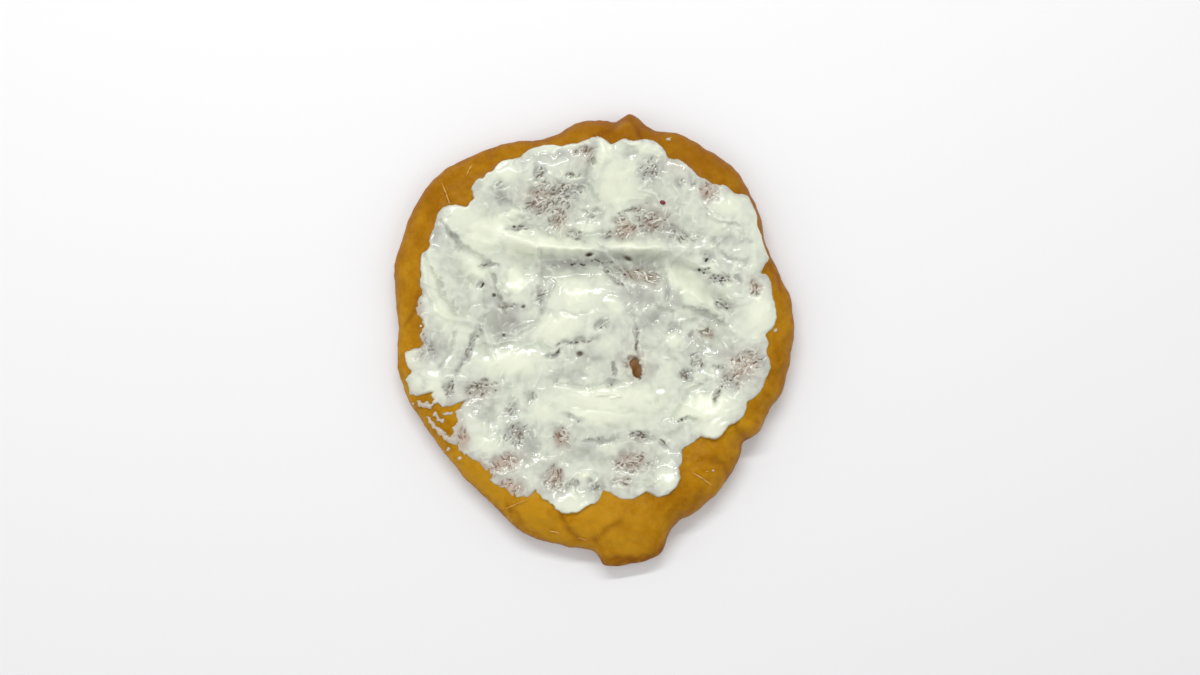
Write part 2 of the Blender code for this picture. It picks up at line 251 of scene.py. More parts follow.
# The cream's edge is a row of round lobes: angle, reach and lobe radius, in degrees and millimetres.
CREAM_BODY_RADIUS = 72.0
CREAM_LOBES = (
    (-2, 88, 10),
    (10, 93.5, 13),
    (18, 94, 9),
    (29, 102, 11),
    (40, 108.5, 12),
    (48, 103, 9),
    (54, 99.5, 12),
    (63, 101, 14),
    (74, 106, 11),
    (81, 103, 9),
    (90, 103, 12),
    (98, 101, 10),
    (106, 104, 14),
    (117, 103, 12),
    (125, 101.5, 9),
    (132, 95, 8),
    (140, 102.5, 10),
    (146, 99.5, 8),
    (154, 98, 11),
    (160, 95, 7),
    (168, 92.5, 10),
    (178, 89.5, 12),
    (186.3, 97.5, 6),
    (193.8, 100.5, 6.4),
    (200, 87, 7),
    (210, 80.5, 6),
    (216, 87.5, 7),
    (221, 89, 8),
    (228.5, 86, 8),
    (236, 89, 11),
    (242.5, 89, 8.5),
    (250, 82, 8),
    (255, 86, 6),
    (261, 89, 11),
    (268, 83.5, 7),
    (277, 78, 9),
    (281.5, 83, 7),
    (285, 83, 10),
    (296, 86.5, 10),
    (302.5, 77.5, 7),
    (326, 81, 10),
    (333.5, 84.5, 9),
    (345, 88.5, 10),
    (351, 90.5, 9),
)
LOBE_SOFTNESS = 1.2
CREAM_OVERHANG_LIMIT = 0.985
# Where the edge is drawn in (above zero) or pushed out (below it): angle, half-spread, millimetres.
EDGE_SHIFTS = (
    (34, 6, -2.2),
    (34.8, 1.7, 1.5),
    (24.2, 1.1, 1.3),
)
# The whole edge is drawn in by this much, and by up to the lean more on the side at this angle.
EDGE_DRAWN_IN = 0.5
EDGE_LEAN = 0.8
EDGE_LEAN_FROM = 150
# A dent where the cream would meet the rim's edge: angle, half-spread, depth.
OVERHANG_DENT = (34.8, 1.9, 1.9)
# Where the edge is ragged: angle, half-spread, how ragged.
RAGGED_SIDES = (
    (212, 34, 1.0),
    (245, 12, 0.5),
    (178, 14, 0.6),
    (128, 6, 0.6),
)
EVEN_RAGGEDNESS = 0.25
# Notches in that edge: angle, depth, half-width in degrees.
CREAM_NOTCHES = (
    (23, 3.0, 1.6),
    (84.5, 0.6, 2.0),
    (206, 3.0, 1.2),
)
# Dollops: x, y, half-length, half-width, turn, rise.
CREAM_DOLLOPS = (
    (16, 79, 19, 15, 80, 1.5),
    (-48, 51, 15, 13, 20, 1.2),
    (-22, 47, 22, 4, -8, 1.3),
    (32, 47, 20, 4, -2, 1.3),
    (56, 31, 22, 8, -35, 1.3),
    (76, 13, 15, 10, 75, 1.3),
    (-6, 10, 17, 14, 20, 1.3),
    (-47, -15, 25, 12, 6, 1.9),
    (14, -37, 38, 14, -4, 1.9),
    (62, -42, 13, 11, 30, 1.5),
    (-77, 34, 20, 8, 75, 1.1),
    (-52, 22, 18, 7, -50, 1.0),
    (-12, -79, 12, 10, 10, 1.2),
    (34, -72, 13, 10, 0, 1.2),
    (78, 50, 14, 10, 60, 1.0),
)
# Thick, bright patches: x, y, half-length, half-width, turn, how thick (0 to 1).
THICK_PATCHES = (
    (12, 79, 12, 10, 80, 1.0),
    (5, 94, 3.5, 9, 0, 0.8),
    (23, 97, 10, 3, -8, 0.6),
    (66, 68, 16, 6, -20, 0.6),
    (84, 54, 5, 10, 0, 0.6),
    (-66, 61, 9, 11, 0, 0.6),
    (-53, 54, 14, 9, 10, 0.9),
    (-40, 64, 7, 2, 6, 0.8),
    (-37, 49, 11, 6, -8, 1.0),
    (-50, 88, 11, 5, 35, 0.6),
    (-18, 98, 14, 3, 10, 0.5),
    (-40, 29, 6, 8, 0, 0.9),
    (-82, 32, 17, 4, 100, 0.7),
    (-76, 13, 4, 9, 20, 1.0),
    (-60, 37, 8, 5, -40, 0.8),
    (-9, 22, 10, 9, 0, 0.9),
    (-18, 6, 13, 7, 15, 1.0),
    (0, 10, 6, 8, 0, 0.5),
    (48, 27, 16, 6, -36, 0.9),
    (57, 37, 8, 3, -20, 0.6),
    (83, 14, 7, 12, 0, 0.9),
    (-5, 57, 6, 2.5, 0, 0.7),
    (11, 18, 4.5, 4, 0, 0.7),
    (-42, -12, 17, 7, 6, 1.0),
    (6, -31, 29, 8, 0, 1.0),
    (2, -38, 22, 5, -4, 1.0),
    (56, -34, 17, 7, 10, 1.0),
    (60, -45, 8, 6, 0, 0.9),
    (41, -1, 4, 4, 0, 0.8),
    (-4, -69, 3, 3, 0, 0.9),
    (-11, -84, 11, 5, 0, 0.8),
    (37, -71, 7, 5, 0, 0.5),
    (-45, 84, 7, 5, 10, 0.7),
    (-67, 3, 5, 8, 20, 0.6),
    (66, 24, 4, 6, 30, 0.6),
    (62, 58, 6, 4, -30, 0.6),
    (6, -4, 6, 5, 0, 0.5),
    (36, -20, 7, 5, 0, 0.5),
    (8, -56, 6, 3, 0, 0.5),
    (-12, 82, 6, 2.4, 0, 0.4),
    (-92, -10, 4, 5, 0, 0.7),
    (-90, -23, 4, 4, 0, 0.7),
    (-79, -24, 5, 9, 25, 0.7),
    (-61, -42, 4, 6, 15, 0.5),
    (-54, -54, 7, 5, 0, 0.6),
    (-25, -37, 8, 6, 0, 0.6),
    (26, 30, 4, 3, 0, 0.3),
    (-24, 48.4, 15, 3.6, -6, 1.0),
    (-8, 46.6, 9, 2.0, -6, 1.0),
    (20, 47.2, 13, 2.5, -3, 1.0),
)
# Where the scraping goes down to the shreds: x, y, half-length, half-width, turn, how bare (0 to 1),
# and the way that the shreds lie there, in degrees.
BARE_PATCHES = (
    (-28, 84, 3, 3.4, 0, 0.9, 70),
    (-11, 83, 4, 1.6, 10, 0.7, 20),
    (-26, 75, 7, 4, 0, 1.0, 5),
    (-15, 75, 9, 5, 10, 0.9, 30),
    (-29, 68, 6, 4, 10, 1.0, 30),
    (-18, 67, 8, 5, 0, 0.6, 50),
    (-19, 60, 4, 3.5, 0, 1.0, 60),
    (-38, 57.5, 5, 1.6, 0, 0.8, 0),
    (-10, 54, 5, 3, 0, 0.7, 20),
    (-1, 65, 4, 2, 0, 0.5, 10),
    (-4, 96, 5.5, 1.9, 18, 0.9, 15),
    (-0.5, 91.5, 1.9, 5, 0, 0.8, 80),
    (29, 86, 6, 6, 0, 0.8, 45),
    (43, 79, 3.4, 2.4, 0, 0.6, 0),
    (58, 75, 4.5, 5.4, 0, 0.9, 70),
    (49, 80, 3, 3, 0, 0.4, 30),
    (14, 61, 4, 3, 0, 0.8, 0),
    (16, 56, 5, 4, 0, 1.0, 50),
    (20, 66, 8, 1.4, 8, 0.7, 5),
    (8, 54, 4, 2, 0, 0.7, 20),
    (29, 61, 8, 6.5, 0, 0.8, 35),
    (44, 54, 9, 4, -20, 0.5, -25),
    (58, 41, 3, 2.6, 0, 0.5, 30),
    (56, 35, 4, 1.8, -10, 0.6, -20),
    (23, 33.5, 8.5, 3.4, -12, 1.0, -12),
    (10, 32, 8, 1.6, -42, 0.6, -42),
    (64, 31, 5.4, 3, 0, 0.7, 0),
    (72, 31, 3, 3, 0, 0.6, 40),
    (81, 27, 2.6, 4.4, 0, 0.9, 80),
    (-5, 39, 14, 1.8, 3, 0.6, 5),
    (-56, 28, 2.6, 2, 0, 0.5, 30),
    (-44, 17, 6, 1.6, 0, 0.7, 0),
    (-27, 23, 2.6, 4.5, -15, 0.6, 40),
    (-71, 52, 2, 6, 25, 0.6, 60),
    (-53, 38, 5, 1.6, 0, 0.5, 0),
    (-47, 78, 3.4, 2.2, 10, 0.3, 10),
    (-47, 72, 3, 3, 0, 0.3, 10),
    (66, 18.5, 5, 3, -35, 0.7, -35),
    (4, 8, 4, 3, 0, 0.7, 40),
    (57, 4, 3.4, 2, 0, 0.9, -15),
    (50, 2.5, 1.6, 1.6, 0, 0.6, 20),
    (40, 7, 3, 2.4, 0, 0.5, 0),
    (78, -10, 8, 4.4, 8, 0.9, 20),
    (72, -18, 10, 4, 47, 1.0, 45),
    (63, -27, 4, 1.8, 50, 0.8, 50),
    (52, -11, 4, 3.4, 0, 0.8, 60),
    (47, -18, 3.4, 3, 0, 0.7, -50),
    (63, -14, 4, 2, 0, 0.4, 20),
    (22, 1, 1.3, 9, 8, 0.6, 78),
    (10, -15, 1.2, 3.4, -10, 0.8, 75),
    (8, -22, 3, 2, 0, 0.6, 20),
    (-9, -1, 10, 1.6, 8, 0.6, 10),
    (-20, -7, 4, 1.6, 25, 0.7, 25),
    (-64, -5, 1.8, 14, -28, 0.6, 62),
    (-58, -25, 8, 4, 10, 0.9, 20),
    (-73, -25, 2.6, 4.5, 0, 0.8, 50),
    (-42, -35, 3, 4.5, 0, 0.7, 60),
    (-31, -28, 2.6, 3, 30, 0.6, -60),
    (-39, -48, 7, 5, 20, 0.8, 62),
    (-16.5, -49.5, 3.5, 5.4, 10, 1.0, -60),
    (2.5, -51, 9, 1.3, 2, 0.5, 0),
    (-10, -40, 6, 1.6, -20, 0.4, 0),
    (23, -49, 7, 2, -6, 0.8, -8),
    (36, -53, 3.4, 1.6, -50, 0.6, -50),
    (19, -62, 8.5, 5, 6, 1.0, 8),
    (14, -72.5, 5, 2, 0, 0.6, 20),
    (-20, -70, 5, 5.4, 0, 0.9, 66),
    (-11, -73, 2.6, 3, 0, 0.6, 66),
    (1, -74.5, 4, 3, 0, 0.6, 0),
    (-66, -49, 2.2, 5.4, -5, 0.8, 80),
    (-46, -62, 7.5, 4, 20, 1.0, -50),
    (-60, -62.5, 4, 1.6, -10, 0.8, 0),
    (-41, -74, 6.5, 3.4, -15, 0.9, 30),
    (-52, -68, 5, 2.4, -30, 0.6, 30),
    (46, -40.5, 5.4, 1.3, 6, 0.5, 10),
    (-82, -6, 3, 6, 0, 0.4, 70),
    (-87, -3, 3, 8, 0, 0.6, 40),
    (-89, 16, 2.6, 8, 0, 0.5, 30),
)
# Smooth thin film with few shreds: x, y, half-length, half-width, turn, how thin (0 to 1).
SMOOTH_FILMS = (
    (-46, 9, 10, 8, 0, 1.0),
    (-80, -3, 6, 7, 0, 0.5),
    (-14, 38.5, 15, 4.6, 0, 0.7),
    (12, 38, 12, 5, -25, 0.8),
    (26, 34, 9, 7, -40, 1.0),
    (34, 57, 10, 5, -10, 0.5),
    (19, 94, 4, 2.4, 0, 0.7),
    (30, -18, 5, 6, 0, 0.3),
    (-6, -57, 10, 5, 0, 0.5),
    (-14, -18, 10, 3, 5, 0.4),
    (46, -58, 5, 5, 0, 0.4),
    (70, 50, 7, 5, 0, 0.3),
    (23, 22, 9, 7, 0, 0.7),
    (30, 10, 8, 6, 0, 0.6),
    (-21, 93, 13, 4, 5, 0.5),
    (-57, -37, 8, 6, 0, 0.5),
    (-32, -56, 6, 6, 0, 0.6),
    (-50, 20, 7, 4, 0, 0.8),
    (-78, 52, 4, 8, 0, 0.4),
    (-42, 72, 6, 4, 0, 0.3),
    (40, 27, 4.5, 9, 0, 0.9),
    (58, 12, 5, 4, 0, 0.7),
    (-26, 34, 4, 5, 0, 0.7),
    (56, -4, 14, 5, -10, 0.5),
    (-70, -36, 6, 6, 0, 0.4),
    (4, -8, 10, 4, 0, 0.4),
)
# Raised folds of thick cream: the line that each follows, its rise and half-width.
CREAM_FOLDS = (
    (((2.5, 45), (7, 43.5), (12, 39), (19, 31)), 1.0, 1.2),
    (((34, 47), (42, 42), (50, 39), (58, 36)), 0.9, 2.4),
    (((-46, 62), (-38, 56), (-30, 55), (-24, 52)), 0.9, 1.6),
    (((-28.5, 46), (-29, 38), (-29, 28)), 0.9, 1.6),
    (((36, 44), (39, 34), (40, 20)), 0.9, 2.4),
    (((48, 44), (58, 38), (66, 28), (70, 20)), 0.7, 3.0),
    (((-74, 58), (-68, 44), (-58, 34), (-48, 24)), 0.9, 2.6),
    (((-86, 38), (-84.4, 27), (-80, 15.5), (-74.7, 11), (-64, 10), (-56.3, 5.6), (-54, -2)), 1.1, 1.6),
    (((-80, 44), (-74, 30), (-66, 20)), 0.6, 3.0),
    (((-57, 10), (-52, -2), (-50, -12)), 0.7, 1.6),
    (((-60, -40), (-52, -26), (-44, -20)), 0.6, 2.4),
    (((-70, -20), (-60, -22), (-52, -24)), 0.7, 2.0),
    (((-24, -18), (-8, -10), (-2, 4)), 0.8, 2.4),
    (((-10, -40), (10, -48), (34, -46), (48, -40)), 0.8, 2.4),
    (((22, 14), (32, 6), (38, -4)), 0.8, 2.0),
    (((34, 18), (46, 14), (56, 8)), 0.7, 1.6),
    (((42, 10), (54, 12), (64, 10), (70, 4)), 0.7, 1.4),
    (((14, 100), (18, 98), (28, 98), (36, 92)), 0.8, 1.2),
    (((58, 64), (62, 60), (72, 60), (76, 54), (79, 50)), 0.8, 1.0),
    (((60, 62), (68, 54), (78, 50)), 0.6, 2.0),
    (((3, 101), (6, 92), (2, 84), (0, 76)), 0.8, 2.0),
    (((30, 42), (18, 34), (8, 30)), 0.6, 1.4),
    (((28, -30), (38, -26), (46, -32)), 0.6, 2.0),
    (((-36, -56), (-30, -62), (-20, -60)), 0.5, 1.6),
    (((-45, 35), (-47, 32), (-45, 28), (-40, 24), (-36, 26)), 0.4, 1.6),
    (((-26, 24), (-24, 20), (-26, 16)), 0.8, 0.9),
    (((-40, 2), (-36, 5), (-31, 8)), 0.7, 0.9),
    (((-50, -2), (-44, 0), (-38, 0)), 0.7, 0.8),
    (((24, -18), (27, -12), (26, -6)), 0.6, 1.0),
    (((2, -28), (8, -27), (14, -28)), 0.5, 0.9),
    (((-30, 82), (-24, 84), (-18, 82), (-14, 78)), 0.6, 0.8),
    (((28, 80), (24, 76), (30, 74), (34, 70)), 0.5, 0.8),
    (((24, -66), (30, -66), (32, -71), (27, -73)), 0.7, 1.0),
)
# Grooves drawn in the cream beside its folds, also painted darker, partly thinner cream and partly painted
# shade: the line that each follows, its depth and half-width.
CREAM_GROOVES = (
    (((-51, 33), (-49.5, 25), (-45, 14)), 0.8, 1.0),
    (((-77, 60), (-71, 52), (-63, 45), (-53, 39)), 0.7, 1.3),
    (((-85.5, 42.5), (-82, 36), (-78.5, 31), (-76.8, 23), (-70.3, 15.3)), 0.8, 1.2),
    (((34, 36), (38, 27), (36, 18), (30, 10)), 0.8, 2.0),
    (((47, 17), (57, 14), (66, 8)), 1.0, 1.2),
    (((30, 19), (38, 14), (44, 6)), 0.5, 1.6),
    (((60, 50), (66, 42), (76, 38)), 0.6, 1.3),
    (((-30, 8), (-26, 16), (-20, 30)), 0.4, 1.6),
    (((-78, -14), (-72, -6), (-70, 4)), 0.5, 1.2),
    (((-20, -22), (-2, -24), (16, -21)), 0.5, 1.3),
    (((40, -40), (48, -26), (58, -20)), 0.5, 1.2),
    (((-52, 76), (-40, 68), (-34, 58)), 0.5, 1.4),
    (((2, 70), (-4, 80), (-2, 90)), 0.5, 1.2),
)
# Crests, thin raised lines that the spoon left and that catch the light: the line that each follows.
CREAM_CRESTS = (
    ((56.4, 67.5), (61.8, 61.5), (63.8, 60), (68.7, 59.5)),
    ((77.6, 54.7), (76.5, 52.2), (73.6, 49.7)),
    ((65.2, 56), (66.4, 57.6), (68.2, 56.6), (67.6, 54.8)),
    ((71.6, 59.5), (75, 57.6)),
    ((49.6, 23.7), (55, 18.8)),
    ((69.7, 22.2), (74.6, 21.7)),
    ((-43, 3), (-41, 6.6), (-36, 8.6), (-30.4, 9.4)),
    ((-51, 2.2), (-46, 3.2), (-40, 2.9)),
    ((-47.6, -1.4), (-43, -0.4), (-39.6, -0.9)),
    ((-25.6, 20), (-27, 16.4)),
    ((-53.7, 34.2), (-51, 29.4), (-47.6, 25.2), (-44.4, 24)),
    ((-86, 29), (-83, 27.6), (-80, 26)),
    ((-76, 64.6), (-74, 66), (-72.4, 64), (-74, 62.2)),
    ((1, -27.4), (6.6, -27.8)),
    ((8.9, -29.5), (13, -28.6)),
    ((-33, 80), (-28, 82), (-24, 80)),
    ((-22, 76), (-20, 71), (-16, 69)),
    ((-14, 74), (-11, 71), (-12, 66)),
    ((-20, 64), (-17, 61)),
    ((40, 78), (43, 73), (41, 70)),
    ((51, -21), (57, -22), (62, -20)),
    ((24, -71), (28, -69), (31, -72)),
)
CREST_RISE = 0.6
CREST_HALF_WIDTH = 0.65
# Brinks, where thick cream ends in a steep step: the line with its high side on the right, the rise,
# and how far the rise reaches on the high side and on the low side.
CREAM_BRINKS = (
    (((1.5, 46.8), (-3, 45.2), (-12, 44.0), (-20, 44.5), (-27, 43.6)), 1.1, 6.0, 2.0),
    (((31, 43.6), (23, 44.8), (16, 44.0), (10, 45.4), (4.5, 48.2)), 1.6, 4.2, 1.4),
    (((-28, 44), (-28.6, 38), (-28, 31), (-31, 25)), 0.6, 4.6, 1.2),
    (((39, 18), (36, 30), (33, 40)), 0.4, 5.0, 3.0),
    (((-55, 31), (-57.5, 24), (-58, 16), (-55, 8), (-51, 2)), 0.9, 4.0, 1.2),
)
# The hole torn right through the cream, and its shallow pits: x, y, half-length, half-width, turn.
CREAM_HOLES = (
    (21.8, -15.4, 4.6, 2.6, 105),
    (20.6, -12.2, 3.0, 2.2, 60),
)
CREAM_PITS = (
    (-7.2, -7, 1.5, 1.1, 0),
    (-2.4, 43.4, 1.6, 0.7, 10),
    (17.3, 41.6, 2.0, 0.8, -20),
    (-50.8, 22.8, 0.8, 0.8, 0),
    (-46, 2.5, 0.7, 0.7, 0),
    (-36, 17, 0.9, 0.6, 30),
    (57.5, 4, 1.6, 0.8, 20),
)
# Where the cream is tinted warm by what is under it: x, y, half-length, half-width, turn, strength.
WARM_PATCHES = (
    (16, 56, 6, 5, 0, 1.0),
    (-17, 60, 5, 8, 0, 0.7),
    (-28, 72, 8, 6, 0, 0.7),
    (58, 75, 5, 6, 0, 0.9),
    (81, 27, 3, 5, 0, 1.0),
    (30, 62, 8, 7, 0, 0.5),
    (24, 33, 8, 4, -10, 0.6),
    (75, -14, 9, 7, 30, 0.9),
    (57, 4, 4, 3, 0, 0.8),
    (21.5, -13, 6, 7, 10, 1.0),
    (-66, -49, 3, 7, -5, 1.4),
    (-16.5, -50, 4, 6, 10, 1.0),
    (19, -62, 9, 6, 6, 0.8),
    (-20, -70, 6, 6, 0, 0.8),
    (-46, -63, 9, 5, 20, 1.3),
    (-60, -63, 6, 3, -10, 1.2),
    (-42, -74, 9, 5, -15, 1.3),
    (14, -72, 6, 3, 0, 0.6),
    (-58, -26, 9, 5, 10, 0.5),
    (-80, -44, 11, 16, 30, 1.4),
    (-87, -32, 8, 4, 0, 1.0),
    (-90, 10, 4, 16, 0, 0.9),
    (-90, -10, 5, 5, 0, 0.5),
    (-4, 94, 6, 6, 0, 0.5),
    (42, 88, 6, 4, -40, 0.5),
)
# Smears and crumbs of cream on the bare rim: x, y, half-length, half-width, turn.
CREAM_SMEARS = (
    (-86, -33, 5.2, 1.6, -8),
    (-80, -31, 3.0, 1.0, 5),
    (-80, -38, 1.8, 2.4, 20),
    (-82, -43, 4.2, 1.3, -55),
    (-78, -47, 4.8, 1.8, -40),
    (-74, -50, 3.6, 1.6, -20),
    (-75, -56, 2.0, 1.2, 25),
    (-73, -37, 4.6, 1.1, 12),
    (-76, -41, 2.0, 1.2, 60),
    (-68, -60, 1.8, 1.0, 40),
    (60, -66, 1.0, 0.7, 0),
    (38, 102, 1.9, 1.1, 25),
    (92, 5, 1.4, 1.0, 20),
)
SMEAR_RAGGEDNESS = 0.75
# The level of the cream where it is thinnest, and how much thicker it gets to its thickest.
FILM_LEVEL = 0.1
THICK_RISE = 2.9
DOLLOP_SHARE = 0.5
FOLD_SHARE = 1.3
# How high shreds and curls stand in it, and the share of it that gaps and pits take away.
SHRED_RISE = 0.75
CURL_RISE = 0.35
GAP_DEPTH = 0.85
PIT_DEPTH = 0.8
# How far the holes and the cream's edge go down into the bread.
HOLE_SUNK = 1.2
EDGE_SUNK = 0.3
MOST_SUNK = 0.6
# Cream that fills the trough behind and beyond its deepest run: x, y, half-length, half-width, turn, rise.
TROUGH_FILLS = (
    (-24, 39.5, 18, 7, 2, 2.0),
    (48, 41, 12, 7, -20, 2.2),
    (4, 44.5, 9, 2.4, 0, 0.8),
    (-16, 46.4, 12, 1.8, -3, 0.8),
    (20, 46.0, 11, 2.1, -2, 1.2),
    (-12, 39, 17, 4.6, -2, 2.8),
    (10, 40, 9, 3.6, -10, 1.5),
)
CREAM_GRID = 0.37
# How far the ripples of the cream are swept off their course.
SWEEP = 6.0
# How the marks in the cream lie: spread over their patches, lengths, disorder in degrees, most bend.
SHRED_MARKS = (0.66, (2.4, 7.5), 34, 0.05)
GAP_MARKS = (0.62, (0.8, 3.6), 26, 0.1)
CURL_MARKS = (0.8, (1.4, 4.6), 70, 0.3)
# Gaps and curls for each shred of cheese, and how wide they are.
GAP_SHARE = 0.75
GAP_HALF_WIDTH = 0.42
CURL_SHARE = 0.45
CURL_HALF_WIDTH = 0.45
CREAM_EDGE_SOFTNESS = 1.1
CREAM_EDGE_STEEPNESS = 1.8
CREAM_UNDERCUT = 1.2
CREAM_TRIANGLES = 186000
UNDERSIDE_STEP = 6

# A shred of cheese bends sideways by one of these, in widths of the shred.
SHRED_BENDS = (-2.6, -1.0, 0.8, 2.2)
# A shred is laid as a solid where the cream is at least this bare and the shred lifts at least so far.
SHRED_LEAST_BARE = 0.4
SHRED_LEAST_LIFT = 0.91
# Stray shreds on the bare rim: x, y, length, heading.
STRAY_SHREDS = (
    (-75, 74, 7, -68),
    (-63, 86, 3.5, 62),
    (38, 102, 2.5, 30),
    (54.5, -70, 6.5, -34),
    (-39, -83, 7.5, 24),
    (-20, -97.5, 3, -12),
    (-6, -101, 2.5, -20),
    (57, -66, 1.2, 10),
)
# The red crumb in the cream: x, y, half-length, half-width, turn.
RED_CRUMB = (34.9, 69.6, 1.5, 0.95, -25)

# The lights: name, place, width, depth and power, in metres and watts.
LIGHTS = (
    ("far tube", (-0.1, 0.66, 0.9), 0.9, 0.06, 6.0),
    ("left panel", (-1.0, -0.2, 0.9), 1.0, 1.0, 3.0),
    ("right panel", (1.0, 0.1, 0.9), 1.0, 1.0, 2.5),
    ("near panel", (0.1, -1.1, 0.8), 1.0, 1.0, 1.5),
)
BACKDROP_STRENGTH = 0.44
# Where the camera looks straight down, in metres, and its lens in millimetres.
CAMERA_OVER = (0.00307, 0.00128)
CAMERA_LENS = 44.0


def smooth_ring(values, angle):
    """Values read from a smooth closed curve through values at even steps round the circle."""
    values = np.asarray(values, float)
    step = np.mod(angle, 2 * math.pi) / (2 * math.pi) * len(values)
    first = np.floor(step).astype(int)
    share = step - first
    before, start, end, after = (values[(first + k) % len(values)] for k in (-1, 0, 1, 2))
    slope_in = (end - before) / 2
    slope_out = (after - start) / 2
    square, cube = share**2, share**3
    return (
        start * (2 * cube - 3 * square + 1)
        + slope_in * (cube - 2 * square + share)
        + end * (3 * square - 2 * cube)
        + slope_out * (cube - square)
    )


def turn_between(angle, centre_degrees):
    """How far each angle in radians is from a direction in degrees, in degrees either way."""
    return (np.degrees(angle) - centre_degrees + 180) % 360 - 180


def ahead(degrees):
    """The x and y of a step of 1 in a direction."""
    return math.cos(math.radians(degrees)), math.sin(math.radians(degrees))


def hill(distance, half_width):
    """A soft bump, 1 at its middle."""
    return np.exp(-((distance / half_width) ** 2))


def hills(angle, places):
    """The sum of hills round the middle, each given as its angle in degrees, half-spread and height."""
    return sum(height * hill(turn_between(angle, at), spread) for at, spread, height in places)


def rim_table():
    """The bread's radius at each of TURNS."""
    radius = smooth_ring(FAR_SIDE_RADII + NEAR_SIDE_RADII, TURNS)
    for centre, rise, half_width, squareness in RIM_BUMPS:
        radius += rise * np.exp(-np.abs(turn_between(TURNS, centre) / half_width) ** squareness)
    for k, turn in enumerate(TURNS):
        crinkle = Vector((math.cos(turn), math.sin(turn), 0)) * radius[k] / CRINKLE_LENGTH
        radius[k] += RIM_CRINKLE * noise.noise(crinkle)
    return radius


def cream_table(rim):
    """The cream's radius at each of TURNS: how far its lobes reach, softly joined."""
    total = np.ones_like(TURNS)
    for centre, reach, lobe in CREAM_LOBES:
        turn = np.radians(turn_between(TURNS, centre))
        along = (reach - lobe) * np.cos(turn)
        half_chord = lobe**2 - ((reach - lobe) * np.sin(turn)) ** 2
        meets = (along > 0) & (half_chord > 0)
        far = along + np.sqrt(np.maximum(half_chord, 0))
        total += np.where(meets, np.exp((far - CREAM_BODY_RADIUS) / LOBE_SOFTNESS), 0)
    radius = CREAM_BODY_RADIUS + LOBE_SOFTNESS * np.log(total)
    for centre, depth, half_width in CREAM_NOTCHES:
        radius -= depth * hill(turn_between(TURNS, centre), half_width)
    return np.minimum(radius, CREAM_OVERHANG_LIMIT * rim)


RIM = rim_table()
CREAM_EDGE = cream_table(RIM)


def read_turn(table, x, y):
    """A table over TURNS, read at the direction of each point."""
    return np.interp(np.mod(np.arctan2(y, x), 2 * math.pi), TURNS, table)


def oval(x, y, centre_x, centre_y, half_length, half_width, turn, power=1.0):
    """A soft oval bump, 1 at its middle. A higher power gives it a flatter top and steeper sides."""
    along, across = ahead(turn)
    dx, dy = x - centre_x, y - centre_y
    u = (dx * along + dy * across) / half_length
    v = (dy * along - dx * across) / half_width
    return np.exp(-((u * u + v * v) ** power))


def beside_line(x, y, line):
    """Each point's distance to a chain of straight runs, and its side: above zero on the right."""
    nearest = np.full_like(x, np.inf)
    side = np.zeros_like(x)
    for (ax, ay), (bx, by) in zip(line, line[1:]):
        run_x, run_y = bx - ax, by - ay
        share = np.clip(((x - ax) * run_x + (y - ay) * run_y) / (run_x**2 + run_y**2), 0, 1)
        away = np.hypot(x - ax - share * run_x, y - ay - share * run_y)
        turned = (y - ay) * -run_x + (x - ax) * run_y
        side = np.where(away < nearest, np.sign(turned), side)
        nearest = np.minimum(nearest, away)
    return nearest, side


def distance_to_line(x, y, line):
    """Distance from each point to a chain of straight runs."""
    return beside_line(x, y, line)[0]


def noise_at(x, y, size, layer):
    """Smooth noise, about -0.7 to 0.7, with forms of a given size. Each layer is another pattern."""
    flat = [noise.noise((a, b, layer)) for a, b in zip((x / size).ravel(), (y / size).ravel())]
    return np.array(flat).reshape(x.shape)


def dough_top(x, y):
    """Height of the bread's top surface."""
    radius = np.hypot(x, y)
    rim = read_turn(RIM, x, y)
    angle = np.arctan2(y, x)
    share = np.minimum(1.0, radius / rim)
    ring = np.full_like(x, RING_RISE)
    for centre, rise, half_width in RING_SWELLS:
        ring += rise * hill(turn_between(angle, centre), half_width)
    height = MIDDLE_HEIGHT + ring * hill(share - RING_AT, RING_HALF_WIDTH)
    for lump_x, lump_y, lump_radius, rise in LUMPS + SMALL_LUMPS:
        height += rise * hill(np.hypot(x - lump_x, y - lump_y), lump_radius)
    height += FOLD_RISE * hill(distance_to_line(x, y, FOLD_LINE), FOLD_HALF_WIDTH)
    height -= TROUGH_DEPTH * hill(distance_to_line(x, y, TROUGH_LINE), TROUGH_HALF_WIDTH)
    rounding = np.sqrt(1 - share**TOP_SQUARENESS)
    return EDGE_HEIGHT + (height - EDGE_HEIGHT) * rounding


def dough_base(share):
    """Height of the bread's underside, flat but for its rounded edge."""
    outward = np.maximum(0.0, share - FLAT_BASE_SHARE) / (1 - FLAT_BASE_SHARE)
    return EDGE_HEIGHT * (1 - np.sqrt(1 - outward**2))


def blurred(field, softness):
    """A field on the grid, blurred by a softness in millimetres."""
    reach = int(3 * softness / CREAM_GRID) + 1
    taps = np.exp(-0.5 * (np.arange(-reach, reach + 1) * CREAM_GRID / softness) ** 2)
    taps /= taps.sum()
    for axis in (0, 1):
        padded = np.pad(field, [(reach, reach) if a == axis else (0, 0) for a in (0, 1)], mode="edge")
        size = field.shape[axis]
        parts = (np.take(padded, range(k, k + size), axis) * tap for k, tap in enumerate(taps))
        field = sum(parts)
    return field


def smooth_max(a, b, width):
    """The greater of two fields, with a soft step between them."""
    return (a + b + np.sqrt((a - b) ** 2 + width**2)) / 2


def mesh_piece(name, verts_mm, faces):
    """A smooth-shaded object at the origin, from points in millimetres."""
    mesh = bpy.data.meshes.new(name)
    mesh.from_pydata(np.asarray(verts_mm) * MM, [], faces)
    mesh.validate()
    mesh.shade_smooth()
    piece = bpy.data.objects.new(name, mesh)
    bpy.context.scene.collection.objects.link(piece)
    return piece


